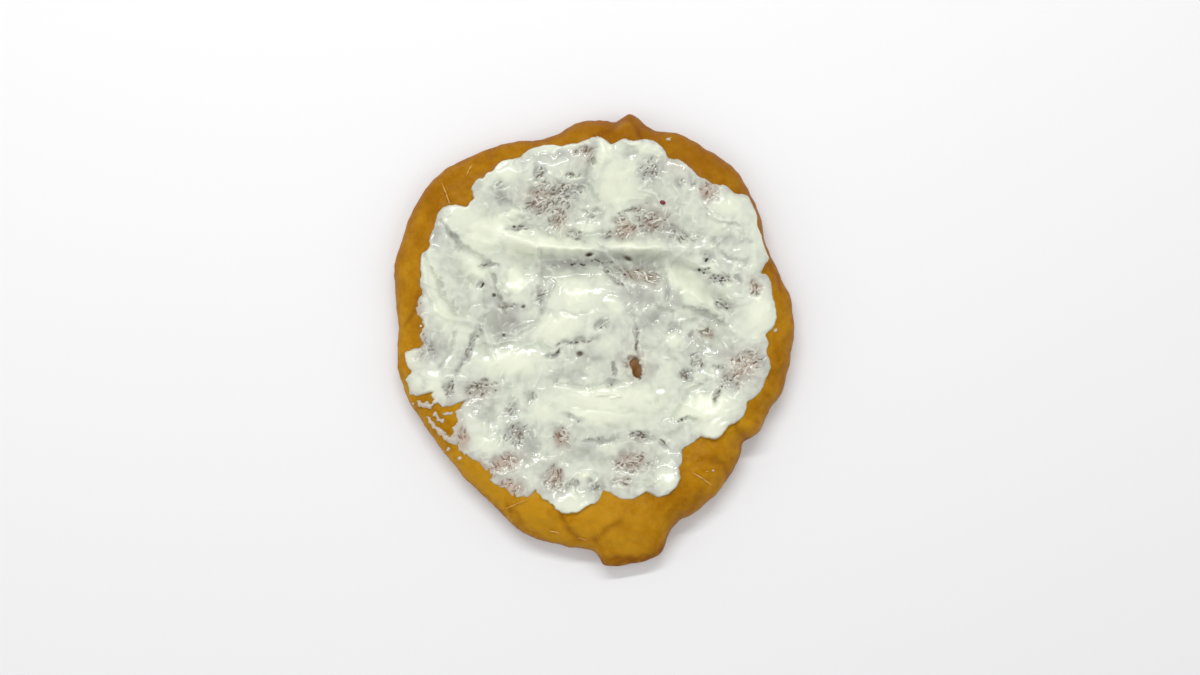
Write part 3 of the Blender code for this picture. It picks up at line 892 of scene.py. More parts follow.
def write_attribute(mesh, name, values):
    """Stores a number for each vertex of a mesh."""
    layer = mesh.attributes.new(name, "FLOAT", "POINT")
    layer.data.foreach_set("value", np.asarray(values, np.float32))


def vertex_places(mesh):
    """The places of a mesh's vertices in millimetres, one row each."""
    flat = np.empty(len(mesh.vertices) * 3, np.float32)
    mesh.vertices.foreach_get("co", flat)
    return flat.reshape(-1, 3).astype(float) / MM


def made_plain(piece):
    """Turns what a piece's modifiers make into its own mesh."""
    graph = bpy.context.evaluated_depsgraph_get()
    plain = bpy.data.meshes.new_from_object(piece.evaluated_get(graph))
    piece.modifiers.clear()
    piece.data = plain


def finish_piece(piece, material, slot, *nodes):
    """Gives a piece its material and tells the frame what it rides on and stands for."""
    piece.data.materials.clear()
    piece.data.materials.append(material)
    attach(piece, BODY)
    if nodes:
        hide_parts(*nodes)


def ring_shares():
    """The share of the radius of each ring of the crust: over the top, then back under the base."""
    covered = np.linspace(0, COVERED_SHARE, 58)[1:]
    bare = 1 - (1 - COVERED_SHARE) * (1 - np.linspace(0, 1, 72)[1:]) ** 1.6
    under = 1 - (1 - FLAT_BASE_SHARE) * np.linspace(0, 1, 24)[1:] ** 1.6
    flat = np.linspace(FLAT_BASE_SHARE, 0, 18)[1:-1]
    return np.concatenate([covered, bare]), np.concatenate([under, flat])


def crust_relief(x, y):
    """Creases, blisters and pucker of the bare crust: how far each point stands off its smooth form."""
    wander_x = CREASE_WANDER * noise_at(x, y, 5.0, 3.1)
    wander_y = CREASE_WANDER * noise_at(x, y, 5.0, 8.4)
    crease = np.zeros_like(x)
    for line in CREASES:
        away = distance_to_line(x + wander_x, y + wander_y, line)
        crease = np.maximum(crease, hill(away, CREASE_HALF_WIDTH))
    pucker = 0.9 * noise_at(x, y, 17.0, 1.3) + 0.55 * noise_at(x, y, 7.5, 2.2)
    pucker += 0.45 * noise_at(x, y, 3.2, 6.6)
    blister = np.maximum(0, noise_at(x, y, 3.6, 5.5)) ** 2
    return pucker + 1.1 * blister - CREASE_DEPTH * crease, crease


def make_crust_mesh(segments):
    """The fried bread as rings round its middle, with its relief, how brown each point is with painted shade
    in its creases, hollows and at its edge, and painted light on its sides.
    """
    top, under = ring_shares()
    turns = np.arange(segments) * 2 * math.pi / segments
    shares = np.concatenate([top, under])
    on_top = np.arange(len(shares)) < len(top)
    share = np.repeat(shares[:, None], segments, axis=1)
    turn = np.repeat(turns[None, :], len(shares), axis=0)
    rim = np.interp(turn, TURNS, RIM)
    x, y = share * rim * np.cos(turn), share * rim * np.sin(turn)
    height = np.where(on_top[:, None], dough_top(x, y), dough_base(share))
    relief, crease = crust_relief(x, y)
    bare = np.clip((np.hypot(x, y) - read_turn(CREAM_EDGE, x, y) + 6) / 6, 0, 1)
    bare = np.where(on_top[:, None], bare, 1)
    # The relief pushes the rim outwards as it pushes the top up, and leaves the flat of the base alone.
    outward = np.clip((share - PUSHED_SHARE) / (1 - PUSHED_SHARE), 0, 1) ** 2
    lift = np.where(on_top[:, None], 1 - 0.7 * outward, np.clip((share - 0.8) / 0.1, 0, 1) * -0.3)
    height = height + relief * bare * lift
    x = x + relief * outward * 0.6 * np.cos(turn)
    y = y + relief * outward * 0.6 * np.sin(turn)
    height = np.maximum(height, 0)
    points = np.stack([x, y, height], axis=-1).reshape(-1, 3)
    top_pole = [0, 0, float(dough_top(np.zeros(1), np.zeros(1))[0])]
    points = np.concatenate([points, [top_pole, [0, 0, 0]]])
    rings = len(shares)
    inner = np.arange(segments)
    after = (inner + 1) % segments
    quads = []
    for ring in range(rings - 1):
        a, b = ring * segments, (ring + 1) * segments
        quads.append(np.stack([a + inner, b + inner, b + after, a + after], axis=1))
    faces = np.concatenate(quads).tolist()
    pole, base_pole, last = rings * segments, rings * segments + 1, (rings - 1) * segments
    faces += [[pole, int(i), int(j)] for i, j in zip(inner, after)]
    faces += [[base_pole, int(last + j), int(last + i)] for i, j in zip(inner, after)]
    crust = mesh_piece("fried_dough", points, faces)
    px, py, pz = vertex_places(crust.data).T
    edge = np.clip((np.concatenate([share.ravel(), [0, 0]]) - BROWNED_SHARE) / (1 - BROWNED_SHARE), 0, 1)
    under_side = np.concatenate([np.where(on_top[:, None], 0, 1 - share * 0.3).ravel(), [0, 0.8]])
    # Painted shade: the creases and dents of the bare crust are darkened.
    crease_shade = np.concatenate([(crease * bare).ravel(), [0, 0]])
    hollow_shade = np.concatenate([np.clip(-relief * bare, 0, 1).ravel(), [0, 0]])
    turned = np.arctan2(py, px)
    crinkled = 1 + 0.8 * noise_at(px, py, 4.0, 3.3) + 0.9 * noise_at(px, py, 1.6, 4.9)
    # Darker towards the outer edge, partly scorching and partly painted shade.
    scorch_and_shade = (0.3 + hills(turned, EDGE_SCORCHES_AND_SHADE)) * crinkled * np.clip((edge - 0.45) / 0.55, 0, 1) ** 1.5
    # Browning plus painted shade: scorched edge, creases, hollows and the underside.
    browning_and_shade = scorch_and_shade + 0.4 * crease_shade + 0.2 * hollow_shade + 0.4 * under_side
    # The far side of the rim is painted browner, partly deeper frying and partly painted shade.
    browning_and_shade = browning_and_shade + hills(turned, [(at, spread, brown) for at, spread, tone_and_light, brown in FRIED_AND_LIT_SIDES])
    # Where the bread lies under the cream; there it takes the colour of bread soaked by cream, darkened as
    # painted shade.
    wet = np.concatenate([np.where(on_top[:, None], 1 - bare, 0).ravel(), [1, 0]])
    shifted_x, shifted_y = px + 3 * noise_at(px, py, 5.0, 4.2), py + 3 * noise_at(px, py, 5.0, 7.6)
    tone_and_light = sum(patch[5] * oval(shifted_x, shifted_y, *patch[:5]) for patch in CRUST_PATCHES)
    # Painted light: the rim's sides are made paler or darker as if lit from the near left, but not under the
    # cream.
    tone_and_light = tone_and_light + hills(turned, [side[:3] for side in FRIED_AND_LIT_SIDES]) * (1 - wet)
    write_attribute(crust.data, "tone_and_light", np.where(pz > EDGE_HEIGHT * 0.6, tone_and_light, 0))
    write_attribute(crust.data, "browning_and_shade", np.clip(browning_and_shade, 0, 1))
    write_attribute(crust.data, "wet", wet)
    return crust


class CreamField:
    """The cream on a square grid: how thick it is, the shreds in it, and how much covers them."""

    def __init__(self, shred_count, shred_width, seed):
        x_steps = np.arange(-100, 100, CREAM_GRID)
        y_steps = np.arange(-96, 112, CREAM_GRID)
        self.x, self.y = np.meshgrid(x_steps, y_steps)
        self.draw = np.random.default_rng(seed)
        self.edge = self.outline()
        self.bare = self.patches(BARE_PATCHES, 1.5)
        self.thinned = self.patches(BARE_PATCHES, 0.8)
        self.film = self.patches(SMOOTH_FILMS, 1.3)
        self.thick = self.patches(THICK_PATCHES, 1.4)
        self.warm = self.patches(WARM_PATCHES, 1.0)
        smooth_cover, mottled_cover = self.cover_levels()
        level = self.smooth_level(smooth_cover)
        # The shreds stand in ridges, bare gaps open between them, and the cream draws up into thin curls.
        self.shreds = self.scatter(shred_count, *SHRED_MARKS)
        ridges = self.stamp(self.shreds, shred_width / 2, 1.0)
        gaps = self.stamp(self.scatter(int(shred_count * GAP_SHARE), *GAP_MARKS), GAP_HALF_WIDTH, 1.2)
        curls = self.stamp(self.scatter(int(shred_count * CURL_SHARE), *CURL_MARKS), CURL_HALF_WIDTH, 1.0)
        gaps = gaps * np.clip(self.bare * 2.0, 0, 1) * np.clip(1 - curls, 0, 1)
        coated = smooth_max(level, ridges * SHRED_RISE, 0.3) - 0.15
        coated = coated + CURL_RISE * curls * np.clip(1.2 - self.thick, 0, 1)
        coated = coated * (1 - GAP_DEPTH * gaps)
        pits, holes, frayed = (np.zeros_like(level) for _ in range(3))
        torn = 0.45 * noise_at(self.x, self.y, 2.4, 2.7) + 0.35 * noise_at(self.x, self.y, 1.0, 3.9)
        for pit in CREAM_PITS:
            pits = np.maximum(pits, np.clip(oval(self.x, self.y, *pit) * 1.2, 0, 1))
        for hole in CREAM_HOLES:
            depth = oval(self.x, self.y, *hole, power=2.0)
            holes = np.maximum(holes, np.clip(depth * 1.5 - 0.25 + torn * np.clip(4 * depth, 0, 1), 0, 1))
            across, up, long, wide, turn = hole
            around = oval(self.x, self.y, across - 1.2, up + 0.8, long + 2.0, wide + 2.0, turn, power=2.0)
            frayed = np.maximum(frayed, 0.85 * around * np.clip(0.5 + 4 * torn, 0, 1))
        coated = coated * (1 - PIT_DEPTH * pits)
        coated = coated - holes * (coated + HOLE_SUNK)
        shelving = np.clip(self.edge * 1.15, 0, 1)
        rounded = shelving * (1.6 - 0.6 * shelving)
        above = np.where(self.edge > 0, (coated + EDGE_SUNK) * rounded, self.edge * 2)
        self.thickness = np.maximum(above - EDGE_SUNK, -MOST_SUNK)
        coat = np.clip(mottled_cover + 0.2 * np.clip(ridges, 0, 1) * self.bare + 0.3 * curls, 0, 1)
        self.smeared = np.clip(np.hypot(self.x, self.y) - read_turn(CREAM_EDGE, self.x, self.y) - 1.5, 0, 1)
        coat = coat * (1 - 0.9 * pits) * (1 - 0.3 * self.smeared)
        # Painted light: the cream's steep edge wall is painted bright, as thick cream, to lift the shade that
        # falls on it.
        lit_brim = np.clip(1 - self.edge / 0.4, 0, 1)
        self.cover = np.maximum(coat, (0.9 - 0.2 * self.smeared) * lit_brim)
        self.warm = np.maximum(self.warm, self.smeared)
        self.gap = np.maximum(np.maximum(gaps, frayed), np.maximum(pits, np.clip(holes * 1.4, 0, 1)))
        self.ground = dough_top(self.x, self.y)
        surface = self.ground + self.thickness
        # Painted shade: how far each point lies below its blurred surroundings, used to darken the cream in
        # its hollows.
        fine, broad = (blurred(surface, size) - surface for size in (1.3, 3.6))
        self.hollow_shade = np.minimum(0.8 * fine * (1 - 0.5 * self.thick) + 0.35 * broad, 0.34)

    def outline(self):
        """How deep each point lies inside the cream's edge: -1 well outside it and 1 well inside it."""
        x, y = self.x, self.y
        angle = np.arctan2(y, x)
        ragged = hills(angle, RAGGED_SIDES) + EVEN_RAGGEDNESS
        wobble = 1.6 * noise_at(x, y, 2.6, 6.1) + 1.4 * noise_at(x, y, 1.3, 7.7)
        wobble = 1.1 * noise_at(x, y, 7.0, 4.4) + ragged * wobble
        drawn_in = EDGE_DRAWN_IN + EDGE_LEAN * np.cos(angle - math.radians(EDGE_LEAN_FROM))
        drawn_in += hills(angle, EDGE_SHIFTS)
        brink = CREAM_OVERHANG_LIMIT * read_turn(RIM, x, y) - hills(angle, [OVERHANG_DENT])
        reach = -smooth_max(wobble + drawn_in - read_turn(CREAM_EDGE, x, y), -brink, 0.8)
        inside = (np.hypot(x, y) < reach).astype(float)
        jagged = 0.4 + SMEAR_RAGGEDNESS * (noise_at(x, y, 1.9, 9.9) + 0.7 * noise_at(x, y, 0.9, 1.7))
        for smear in CREAM_SMEARS:
            inside = np.maximum(inside, (oval(x, y, *smear) > np.maximum(jagged, 0.1)).astype(float))
        soft = blurred(inside, CREAM_EDGE_SOFTNESS)
        fine = blurred(inside, CREAM_EDGE_SOFTNESS * 0.5)
        soft = np.where(inside > 0, np.maximum(soft, fine), np.minimum(soft, fine))
        return np.clip((soft - 0.5) * CREAM_EDGE_STEEPNESS, -1, 1)

    def patches(self, places, power):
        """How strong a set of oval patches is at each point, with uneven edges."""
        x = self.x + 2.2 * noise_at(self.x, self.y, 4.5, 2.5)
        y = self.y + 2.2 * noise_at(self.x, self.y, 4.5, 5.2)
        total = np.zeros_like(x)
        for place in places:
            total = np.maximum(total, place[5] * oval(x, y, *place[:5], power=power))
        return total

    def cover_levels(self):
        """How well the cream hides what is under it, 0 to 1: smooth for its form, mottled for its colour."""
        x, y = self.x, self.y
        unsettled = 1 - 0.8 * self.thick
        cover = 0.6 + 0.06 * noise_at(x, y, 15.0, 3.3) + 0.13 * unsettled * noise_at(x, y, 7.0, 4.1)
        cover += 0.42 * self.thick * (1 - self.bare)
        cover -= 0.38 * self.film * (1 - self.thick)
        cover -= 0.3 * self.thinned * (1 - 0.7 * self.thick)
        cover -= 0.16 * hill(read_turn(CREAM_EDGE, x, y) - np.hypot(x, y), 5.0) * (1 - self.thick)
        mottle = 0.15 * noise_at(x, y, 2.8, 4.9) + 0.12 * noise_at(x, y, 1.4, 5.3)
        # The grooves also lower the cover, partly thinner cream and partly painted shade.
        for line, depth, half_width in CREAM_GROOVES:
            cover -= 0.2 * depth * hill(distance_to_line(x + mottle * 8, y + mottle * 8, line), half_width)
        mottled = cover + unsettled * mottle * (1 - 0.6 * self.film)
        smooth, mottled = (np.clip(c, 0.05, 1.1) * (1 - 0.8 * self.bare) for c in (cover, mottled))
        return smooth, mottled

    def smooth_level(self, cover):
        """Thickness of the cream itself, before the shreds show through it."""
        x, y = self.x, self.y
        wander_x = x + 1.2 * noise_at(x, y, 6.0, 6.3)
        wander_y = y + 1.2 * noise_at(x, y, 6.0, 7.1)
        thickness = FILM_LEVEL + THICK_RISE * cover**1.4
        for dollop in CREAM_DOLLOPS:
            thickness += DOLLOP_SHARE * dollop[-1] * oval(x, y, *dollop[:-1])
        for fill in TROUGH_FILLS:
            thickness += fill[-1] * oval(x, y, *fill[:-1])
        for line, rise, half_width in CREAM_FOLDS:
            thickness += FOLD_SHARE * rise * hill(distance_to_line(wander_x, wander_y, line), half_width)
        for line, depth, half_width in CREAM_GROOVES:
            thickness -= depth * hill(distance_to_line(wander_x, wander_y, line), half_width)
        thickness = np.maximum(thickness, 0.15)
        for line in CREAM_CRESTS:
            thickness += CREST_RISE * hill(distance_to_line(x, y, line), CREST_HALF_WIDTH)
        for line, rise, high_reach, low_reach in CREAM_BRINKS:
            away, side = beside_line(wander_x, wander_y, line)
            thickness += rise * np.where(side > 0, hill(away, high_reach), hill(away, low_reach))
        swept_x = x + SWEEP * noise_at(x, y, 16.0, 2.3)
        swept_y = y + SWEEP * noise_at(x, y, 16.0, 5.9)
        middling = 4 * cover * (1 - np.clip(cover, 0, 1))
        curl = np.maximum(0, 1 - 6 * np.abs(noise_at(swept_x, swept_y, 7.5, 9.4)))
        ripple = 1 - 2.2 * np.abs(noise_at(swept_x, swept_y, 12.0, 8.8))
        dapple = 0.22 * noise_at(swept_x, swept_y, 4.2, 9.1)
        return thickness + 0.4 * ripple * np.clip(cover, 0, 1) + 0.35 * curl * middling + dapple

    def scatter(self, count, spread, lengths, disorder, most_bend):
        """Marks that lie mostly in the bare patches: x, y, length, heading, bend and lift of each."""
        found = []
        weights = np.array([patch[2] * patch[3] * patch[5] for patch in BARE_PATCHES])
        weights = weights / weights.sum()
        for _ in range(count):
            if self.draw.random() < 0.9:
                at_x, at_y, long, wide, turn, _, lie = BARE_PATCHES[self.draw.choice(len(weights), p=weights)]
                u, v = self.draw.normal(0, spread, 2)
                along, across = ahead(turn)
                x = at_x + u * long * along - v * wide * across
                y = at_y + u * long * across + v * wide * along
                heading = lie + self.draw.normal(0, disorder)
            else:
                radius, around = 92 * math.sqrt(self.draw.random()), self.draw.uniform(0, 2 * math.pi)
                x, y = radius * math.cos(around), radius * math.sin(around)
                heading = self.draw.uniform(0, 180)
            length = self.draw.uniform(*lengths)
            bend = self.draw.uniform(-most_bend, most_bend)
            lift = self.draw.uniform(0.35, 1.0)
            if math.hypot(x, y) + 2 < float(read_turn(CREAM_EDGE, np.array(x), np.array(y))):
                found.append((x, y, length, heading, bend, lift))
        return found

    def stamp(self, marks, half_width, roundness):
        """Marks drawn on the grid as rounded strips, up to 1 high. Less roundness gives a flatter top."""
        drawn = np.zeros_like(self.x)
        for x, y, length, heading, bend, lift in marks:
            reach = length / 2 + 1.5
            columns = slice(*np.searchsorted(self.x[0], (x - reach, x + reach)))
            rows = slice(*np.searchsorted(self.y[:, 0], (y - reach, y + reach)))
            dx, dy = self.x[rows, columns] - x, self.y[rows, columns] - y
            ahead_x, ahead_y = ahead(heading)
            along = dx * ahead_x + dy * ahead_y
            across = dy * ahead_x - dx * ahead_y
            past = np.maximum(0, np.abs(along) - length / 2 + half_width)
            gap = np.hypot(past, across - bend * along**2) / (half_width * (0.7 + 0.5 * lift))
            height = (1 - roundness + roundness * lift) * np.clip(1 - gap**2, 0, 1) ** (roundness / 2)
            drawn[rows, columns] = np.maximum(drawn[rows, columns], height)
        return drawn

    def read(self, field, x, y):
        """A field read between the points of the grid."""
        column = np.clip((x - self.x[0, 0]) / CREAM_GRID, 0, self.x.shape[1] - 1.001)
        row = np.clip((y - self.y[0, 0]) / CREAM_GRID, 0, self.x.shape[0] - 1.001)
        c, r = column.astype(int), row.astype(int)
        fc, fr = column - c, row - r
        near = field[r, c] * (1 - fc) + field[r, c + 1] * fc
        far = field[r + 1, c] * (1 - fc) + field[r + 1, c + 1] * fc
        return near * (1 - fr) + far * fr


def kept_cells(field):
    """The grid cells that the cream's surface needs, with no two that touch only at a corner."""
    shown = (field.thickness > -0.4) & (field.edge > -0.9)
    inner = shown | (field.edge > 0)
    cells = inner[:-1, :-1] | inner[1:, :-1] | inner[:-1, 1:] | inner[1:, 1:]
    cells[:UNDERSIDE_STEP] = cells[-UNDERSIDE_STEP:] = False
    cells[:, :UNDERSIDE_STEP] = cells[:, -UNDERSIDE_STEP:] = False
    while True:
        a, b, c, d = cells[:-1, :-1], cells[:-1, 1:], cells[1:, :-1], cells[1:, 1:]
        crossed = (a & d & ~b & ~c) | (b & c & ~a & ~d)
        if not crossed.any():
            return cells
        for part in (a, b, c, d):
            part |= crossed


def cream_faces(cells):
    """Faces of a closed layer over the kept cells: a fine top, walls, and a coarse underside."""
    rows, columns = cells.shape
    wide = columns + 1
    under = (rows + 1) * wide
    corner = np.arange((rows + 1) * wide).reshape(rows + 1, wide)
    r, c = np.nonzero(cells)
    faces = np.stack([corner[r, c], corner[r, c + 1], corner[r + 1, c + 1], corner[r + 1, c]], axis=1)
    faces = faces.tolist()
    sides = (
        (-1, 0, (0, 0), (0, 1)),
        (0, 1, (0, 1), (1, 1)),
        (1, 0, (1, 1), (1, 0)),
        (0, -1, (1, 0), (0, 0)),
    )
    for down, right, start, end in sides:
        open_side = ~cells[r + down, c + right]
        first = corner[r[open_side] + start[0], c[open_side] + start[1]]
        second = corner[r[open_side] + end[0], c[open_side] + end[1]]
        faces += np.stack([second, first, first + under, second + under], axis=1).tolist()
    step = UNDERSIDE_STEP
    blocks_down, blocks_across = rows // step, columns // step
    trimmed = cells[: blocks_down * step, : blocks_across * step]
    full = trimmed.reshape(blocks_down, step, blocks_across, step).all(axis=(1, 3))
    full = np.pad(full, 1)
    fine = cells.copy()
    for i, j in zip(*np.nonzero(full[1:-1, 1:-1])):
        top, left = i * step, j * step
        fine[top : top + step, left : left + step] = False
        loop = []
        ring = (
            (full[i, j + 1], [(top, left + k) for k in range(step)]),
            (full[i + 1, j + 2], [(top + k, left + step) for k in range(step)]),
            (full[i + 2, j + 1], [(top + step, left + step - k) for k in range(step)]),
            (full[i + 1, j], [(top + step - k, left) for k in range(step)]),
        )
        for beside_full, run in ring:
            loop += run[:1] if beside_full else run
        faces.append([int(corner[a, b]) + under for a, b in reversed(loop)])
    r, c = np.nonzero(fine)
    below = np.stack([corner[r, c], corner[r + 1, c], corner[r + 1, c + 1], corner[r, c + 1]], axis=1) + under
    return faces + below.tolist()


def make_cream_mesh(field):
    """The cream as a closed wavy layer, sunk a little into the bread that it lies on."""
    top = np.stack([field.x, field.y, field.ground + field.thickness], axis=-1).reshape(-1, 3)
    bottom = np.stack([field.x, field.y, field.ground - CREAM_UNDERCUT], axis=-1).reshape(-1, 3)
    faces = cream_faces(kept_cells(field))
    used = np.unique(np.fromiter((i for face in faces for i in face), int))
    renumbered = np.zeros(len(top) * 2, int)
    renumbered[used] = np.arange(len(used))
    faces = [[int(renumbered[i]) for i in face] for face in faces]
    cream = mesh_piece("cream_spread", np.concatenate([top, bottom])[used], faces)
    triangles = sum(len(face) - 2 for face in faces)
    if triangles > CREAM_TRIANGLES:
        thin = cream.modifiers.new("thin", "DECIMATE")
        thin.ratio = CREAM_TRIANGLES / triangles
        made_plain(cream)
    x, y, z = vertex_places(cream.data).T
    for name in ("cover", "gap", "bare", "hollow_shade", "warm"):
        write_attribute(cream.data, name, field.read(getattr(field, name), x, y))
    cream.data.shade_smooth()
    return cream


class NodeGraph:
    """Small helpers for wiring nodes in a material or a geometry tree."""

    def __init__(self, tree):
        self.tree = tree

    def add(self, kind, inputs=(), **settings):
        """A node with its settings and inputs. An input is a value, or an output socket to link from."""
        node = self.tree.nodes.new(kind)
        for name, value in settings.items():
            setattr(node, name, value)
        for key, value in dict(inputs).items():
            if isinstance(value, bpy.types.NodeSocket):
                self.tree.links.new(value, node.inputs[key])
            else:
                node.inputs[key].default_value = value
        return node

    def math(self, operation, *values, clamp=False):
        """The result of one arithmetic step."""
        return self.add("ShaderNodeMath", enumerate(values), operation=operation, use_clamp=clamp).outputs[0]

    def mix(self, share, a, b, blend="MIX"):
        """A colour between two others. Each is an output socket, or red, green and blue."""
        a, b = (c if isinstance(c, bpy.types.NodeSocket) else (*c, 1.0) for c in (a, b))
        node = self.add("ShaderNodeMix", {0: share, 6: a, 7: b}, data_type="RGBA", blend_type=blend)
        return node.outputs[2]

    def ramp(self, value, stops):
        """A value turned into a colour by stops of (place, red, green and blue)."""
        node = self.add("ShaderNodeValToRGB", {0: value})
        elements = node.color_ramp.elements
        while len(elements) < len(stops):
            elements.new(0.5)
        for element, (place, colour) in zip(elements, stops):
            element.position = place
            element.color = (*colour, 1.0)
        return node.outputs[0]

    def noise(self, where, scale, detail=2.0, roughness=0.5):
        """Noise from 0 to 1 over a place."""
        inputs = {"Vector": where, "Scale": scale, "Detail": detail, "Roughness": roughness}
        return self.add("ShaderNodeTexNoise", inputs).outputs[0]

    def attribute(self, name):
        """A number stored on the mesh."""
        return self.add("ShaderNodeAttribute", attribute_name=name).outputs["Fac"]


def new_material(name):
    """A material with a Principled shader, as (material, graph, shader, object coordinates)."""
    made = bpy.data.materials.new(name)
    made.use_nodes = True
    graph = NodeGraph(made.node_tree)
    shader = made.node_tree.nodes["Principled BSDF"]
    where = graph.add("ShaderNodeTexCoord").outputs["Object"]
    return made, graph, shader, where


def fill_inputs(shader, values):
    """Sets a shader's inputs by their names."""
    for name, value in values.items():
        shader.inputs[name].default_value = value


def link_bump(graph, shader, height, strength, distance):
    """Roughens a shader's surface by a height pattern."""
    bump = graph.add("ShaderNodeBump", {"Height": height, "Strength": strength, "Distance": distance})
    graph.tree.links.new(bump.outputs[0], shader.inputs["Normal"])


def crust_material(colours):
    """Fried crust: amber with paler gold lumps and pale flecks of painted highlight, darker in its creases,
    hollows and at its edge by browning and painted shade, and oily.
    """
    made, graph, shader, where = new_material("fried crust")
    broad = graph.noise(where, 38.0, 3.0, 0.55)
    mottle = graph.noise(where, 210.0, 5.0, 0.62)
    fine = graph.noise(where, 620.0, 3.0, 0.6)
    tone_and_light = graph.math("ADD", graph.math("MULTIPLY", broad, 0.48), graph.math("MULTIPLY", mottle, 0.52))
    tone_and_light = graph.math("MULTIPLY_ADD", graph.attribute("tone_and_light"), 0.13, tone_and_light)
    amber = graph.ramp(tone_and_light, (
        (0.38, colours.crust_deep),
        (0.5, colours.crust),
        (0.63, colours.crust_pale),
    ))
    uneven = graph.math("MULTIPLY_ADD", mottle, 0.5, -0.3)
    # Browning and painted shade: darker at the edge, in creases and hollows, underneath and on the far side
    # of the rim.
    browning_and_shade = graph.math("ADD", graph.attribute("browning_and_shade"), uneven, clamp=True)
    amber = graph.mix(browning_and_shade, amber, colours.crust_browned_and_shaded)
    speckle = graph.math("GREATER_THAN", fine, 0.69)
    amber = graph.mix(graph.math("MULTIPLY", speckle, 0.25), amber, colours.crust_browned_and_shaded)
    # Painted highlights: small pale flecks.
    highlight_fleck = graph.math("MULTIPLY", graph.math("LESS_THAN", fine, 0.33), 0.3)
    amber = graph.mix(highlight_fleck, amber, colours.crust_fleck_highlight)
    # Painted shade in the torn hole: where the patches are deep under the cream, the bread is painted darker
    # towards the hole's bottom.
    torn_hole_shade = graph.math("MULTIPLY", graph.attribute("tone_and_light"), -0.8, clamp=True)
    soaked = graph.mix(torn_hole_shade, colours.crust_wet_and_shaded, colours.crust_torn_shaded)
    colour = graph.mix(graph.math("MULTIPLY", graph.attribute("wet"), 0.9), amber, soaked)
    graph.tree.links.new(colour, shader.inputs["Base Color"])
    gloss = graph.math("MULTIPLY_ADD", broad, 0.5, 0.16)
    graph.tree.links.new(gloss, shader.inputs["Roughness"])
    fill_inputs(shader, {
        "Specular IOR Level": 0.09,
        "Subsurface Weight": 0.35,
        "Subsurface Radius": (1.0, 0.45, 0.1),
        "Subsurface Scale": 0.004,
    })
    pores = graph.math("ADD", graph.math("MULTIPLY", mottle, 0.7), graph.math("MULTIPLY", fine, 0.25))
    link_bump(graph, shader, pores, 0.35, 0.0012)
    return made


def cream_material(colours):
    """Soured cream: pale and wet where thick, greyer as a film, and brown where bread shows through, with
    painted shade in its hollows and gaps.
    """
    made, graph, shader, where = new_material("soured cream")
    cloud = graph.noise(where, 90.0, 3.0, 0.5)
    streak = graph.noise(where, 420.0, 4.0, 0.65)
    uneven = graph.math("ADD", graph.attribute("cover"), graph.math("MULTIPLY_ADD", cloud, 0.16, -0.08))
    uneven = graph.math("ADD", uneven, graph.math("MULTIPLY_ADD", streak, 0.08, -0.04))
    coat = graph.ramp(uneven, (
        (0.0, colours.film_dark),
        (0.3, colours.film),
        (0.62, colours.cream),
        (1.0, colours.cream_thick),
    ))
    thin = graph.math("SUBTRACT", 1.05, uneven, clamp=True)
    tint = graph.math("MULTIPLY", graph.math("MULTIPLY", graph.attribute("warm"), thin), 0.85, clamp=True)
    coat = graph.mix(tint, coat, colours.film_warm)
    # Painted shade in the hollows.
    shade = graph.math("MULTIPLY", graph.attribute("hollow_shade"), 0.9, clamp=True)
    coat = graph.mix(shade, coat, colours.cream_hollow_shade, "MULTIPLY")
    # Bread seen through gaps, pits and the hole, darkened as painted shade.
    beneath = graph.mix(graph.attribute("warm"), colours.shaded_through_film, colours.shaded_through_warm)
    colour = graph.mix(graph.math("MULTIPLY", graph.attribute("gap"), 1.15, clamp=True), coat, beneath)
    graph.tree.links.new(colour, shader.inputs["Base Color"])
    dull = graph.math("MULTIPLY", graph.math("SUBTRACT", graph.attribute("cover"), 0.65, clamp=True), 0.45)
    graph.tree.links.new(graph.math("ADD", dull, 0.14), shader.inputs["Roughness"])
    fill_inputs(shader, {
        "Specular IOR Level": 0.5,
        "Subsurface Weight": 0.15,
        "Subsurface Radius": (1.0, 0.9, 0.7),
        "Subsurface Scale": 0.001,
    })
    curd = graph.math("MULTIPLY", streak, graph.math("MULTIPLY_ADD", graph.attribute("bare"), 0.7, 0.06))
    curd = graph.math("MULTIPLY_ADD", graph.noise(where, 240.0, 2.0, 0.5), 0.22, curd)
    link_bump(graph, shader, curd, 0.5, 0.0006)
    return made


def cheese_material(name, deep, pale):
    """Shreds of pale cheese, coated with cream or soaked with fat."""
    made, graph, shader, where = new_material(name)
    patch = graph.noise(where, 260.0, 3.0, 0.6)
    colour = graph.ramp(patch, ((0.35, deep), (0.6, pale)))
    graph.tree.links.new(colour, shader.inputs["Base Color"])
    fill_inputs(shader, {
        "Roughness": 0.22,
        "Subsurface Weight": 0.3,
        "Subsurface Radius": (1.0, 0.8, 0.5),
        "Subsurface Scale": 0.001,
    })
    link_bump(graph, shader, graph.noise(where, 900.0, 2.0), 0.3, 0.0003)
    return made


def floor_material(colours):
    """A plain pale floor with the faintest unevenness."""
    made, graph, shader, where = new_material("floor")
    cloud = graph.noise(where, 2.0, 2.0)
    lighter = [c * 1.01 for c in colours.floor]
    colour = graph.ramp(cloud, ((0.3, colours.floor), (0.8, lighter)))
    graph.tree.links.new(colour, shader.inputs["Base Color"])
    shader.inputs["Roughness"].default_value = 0.8
    return made


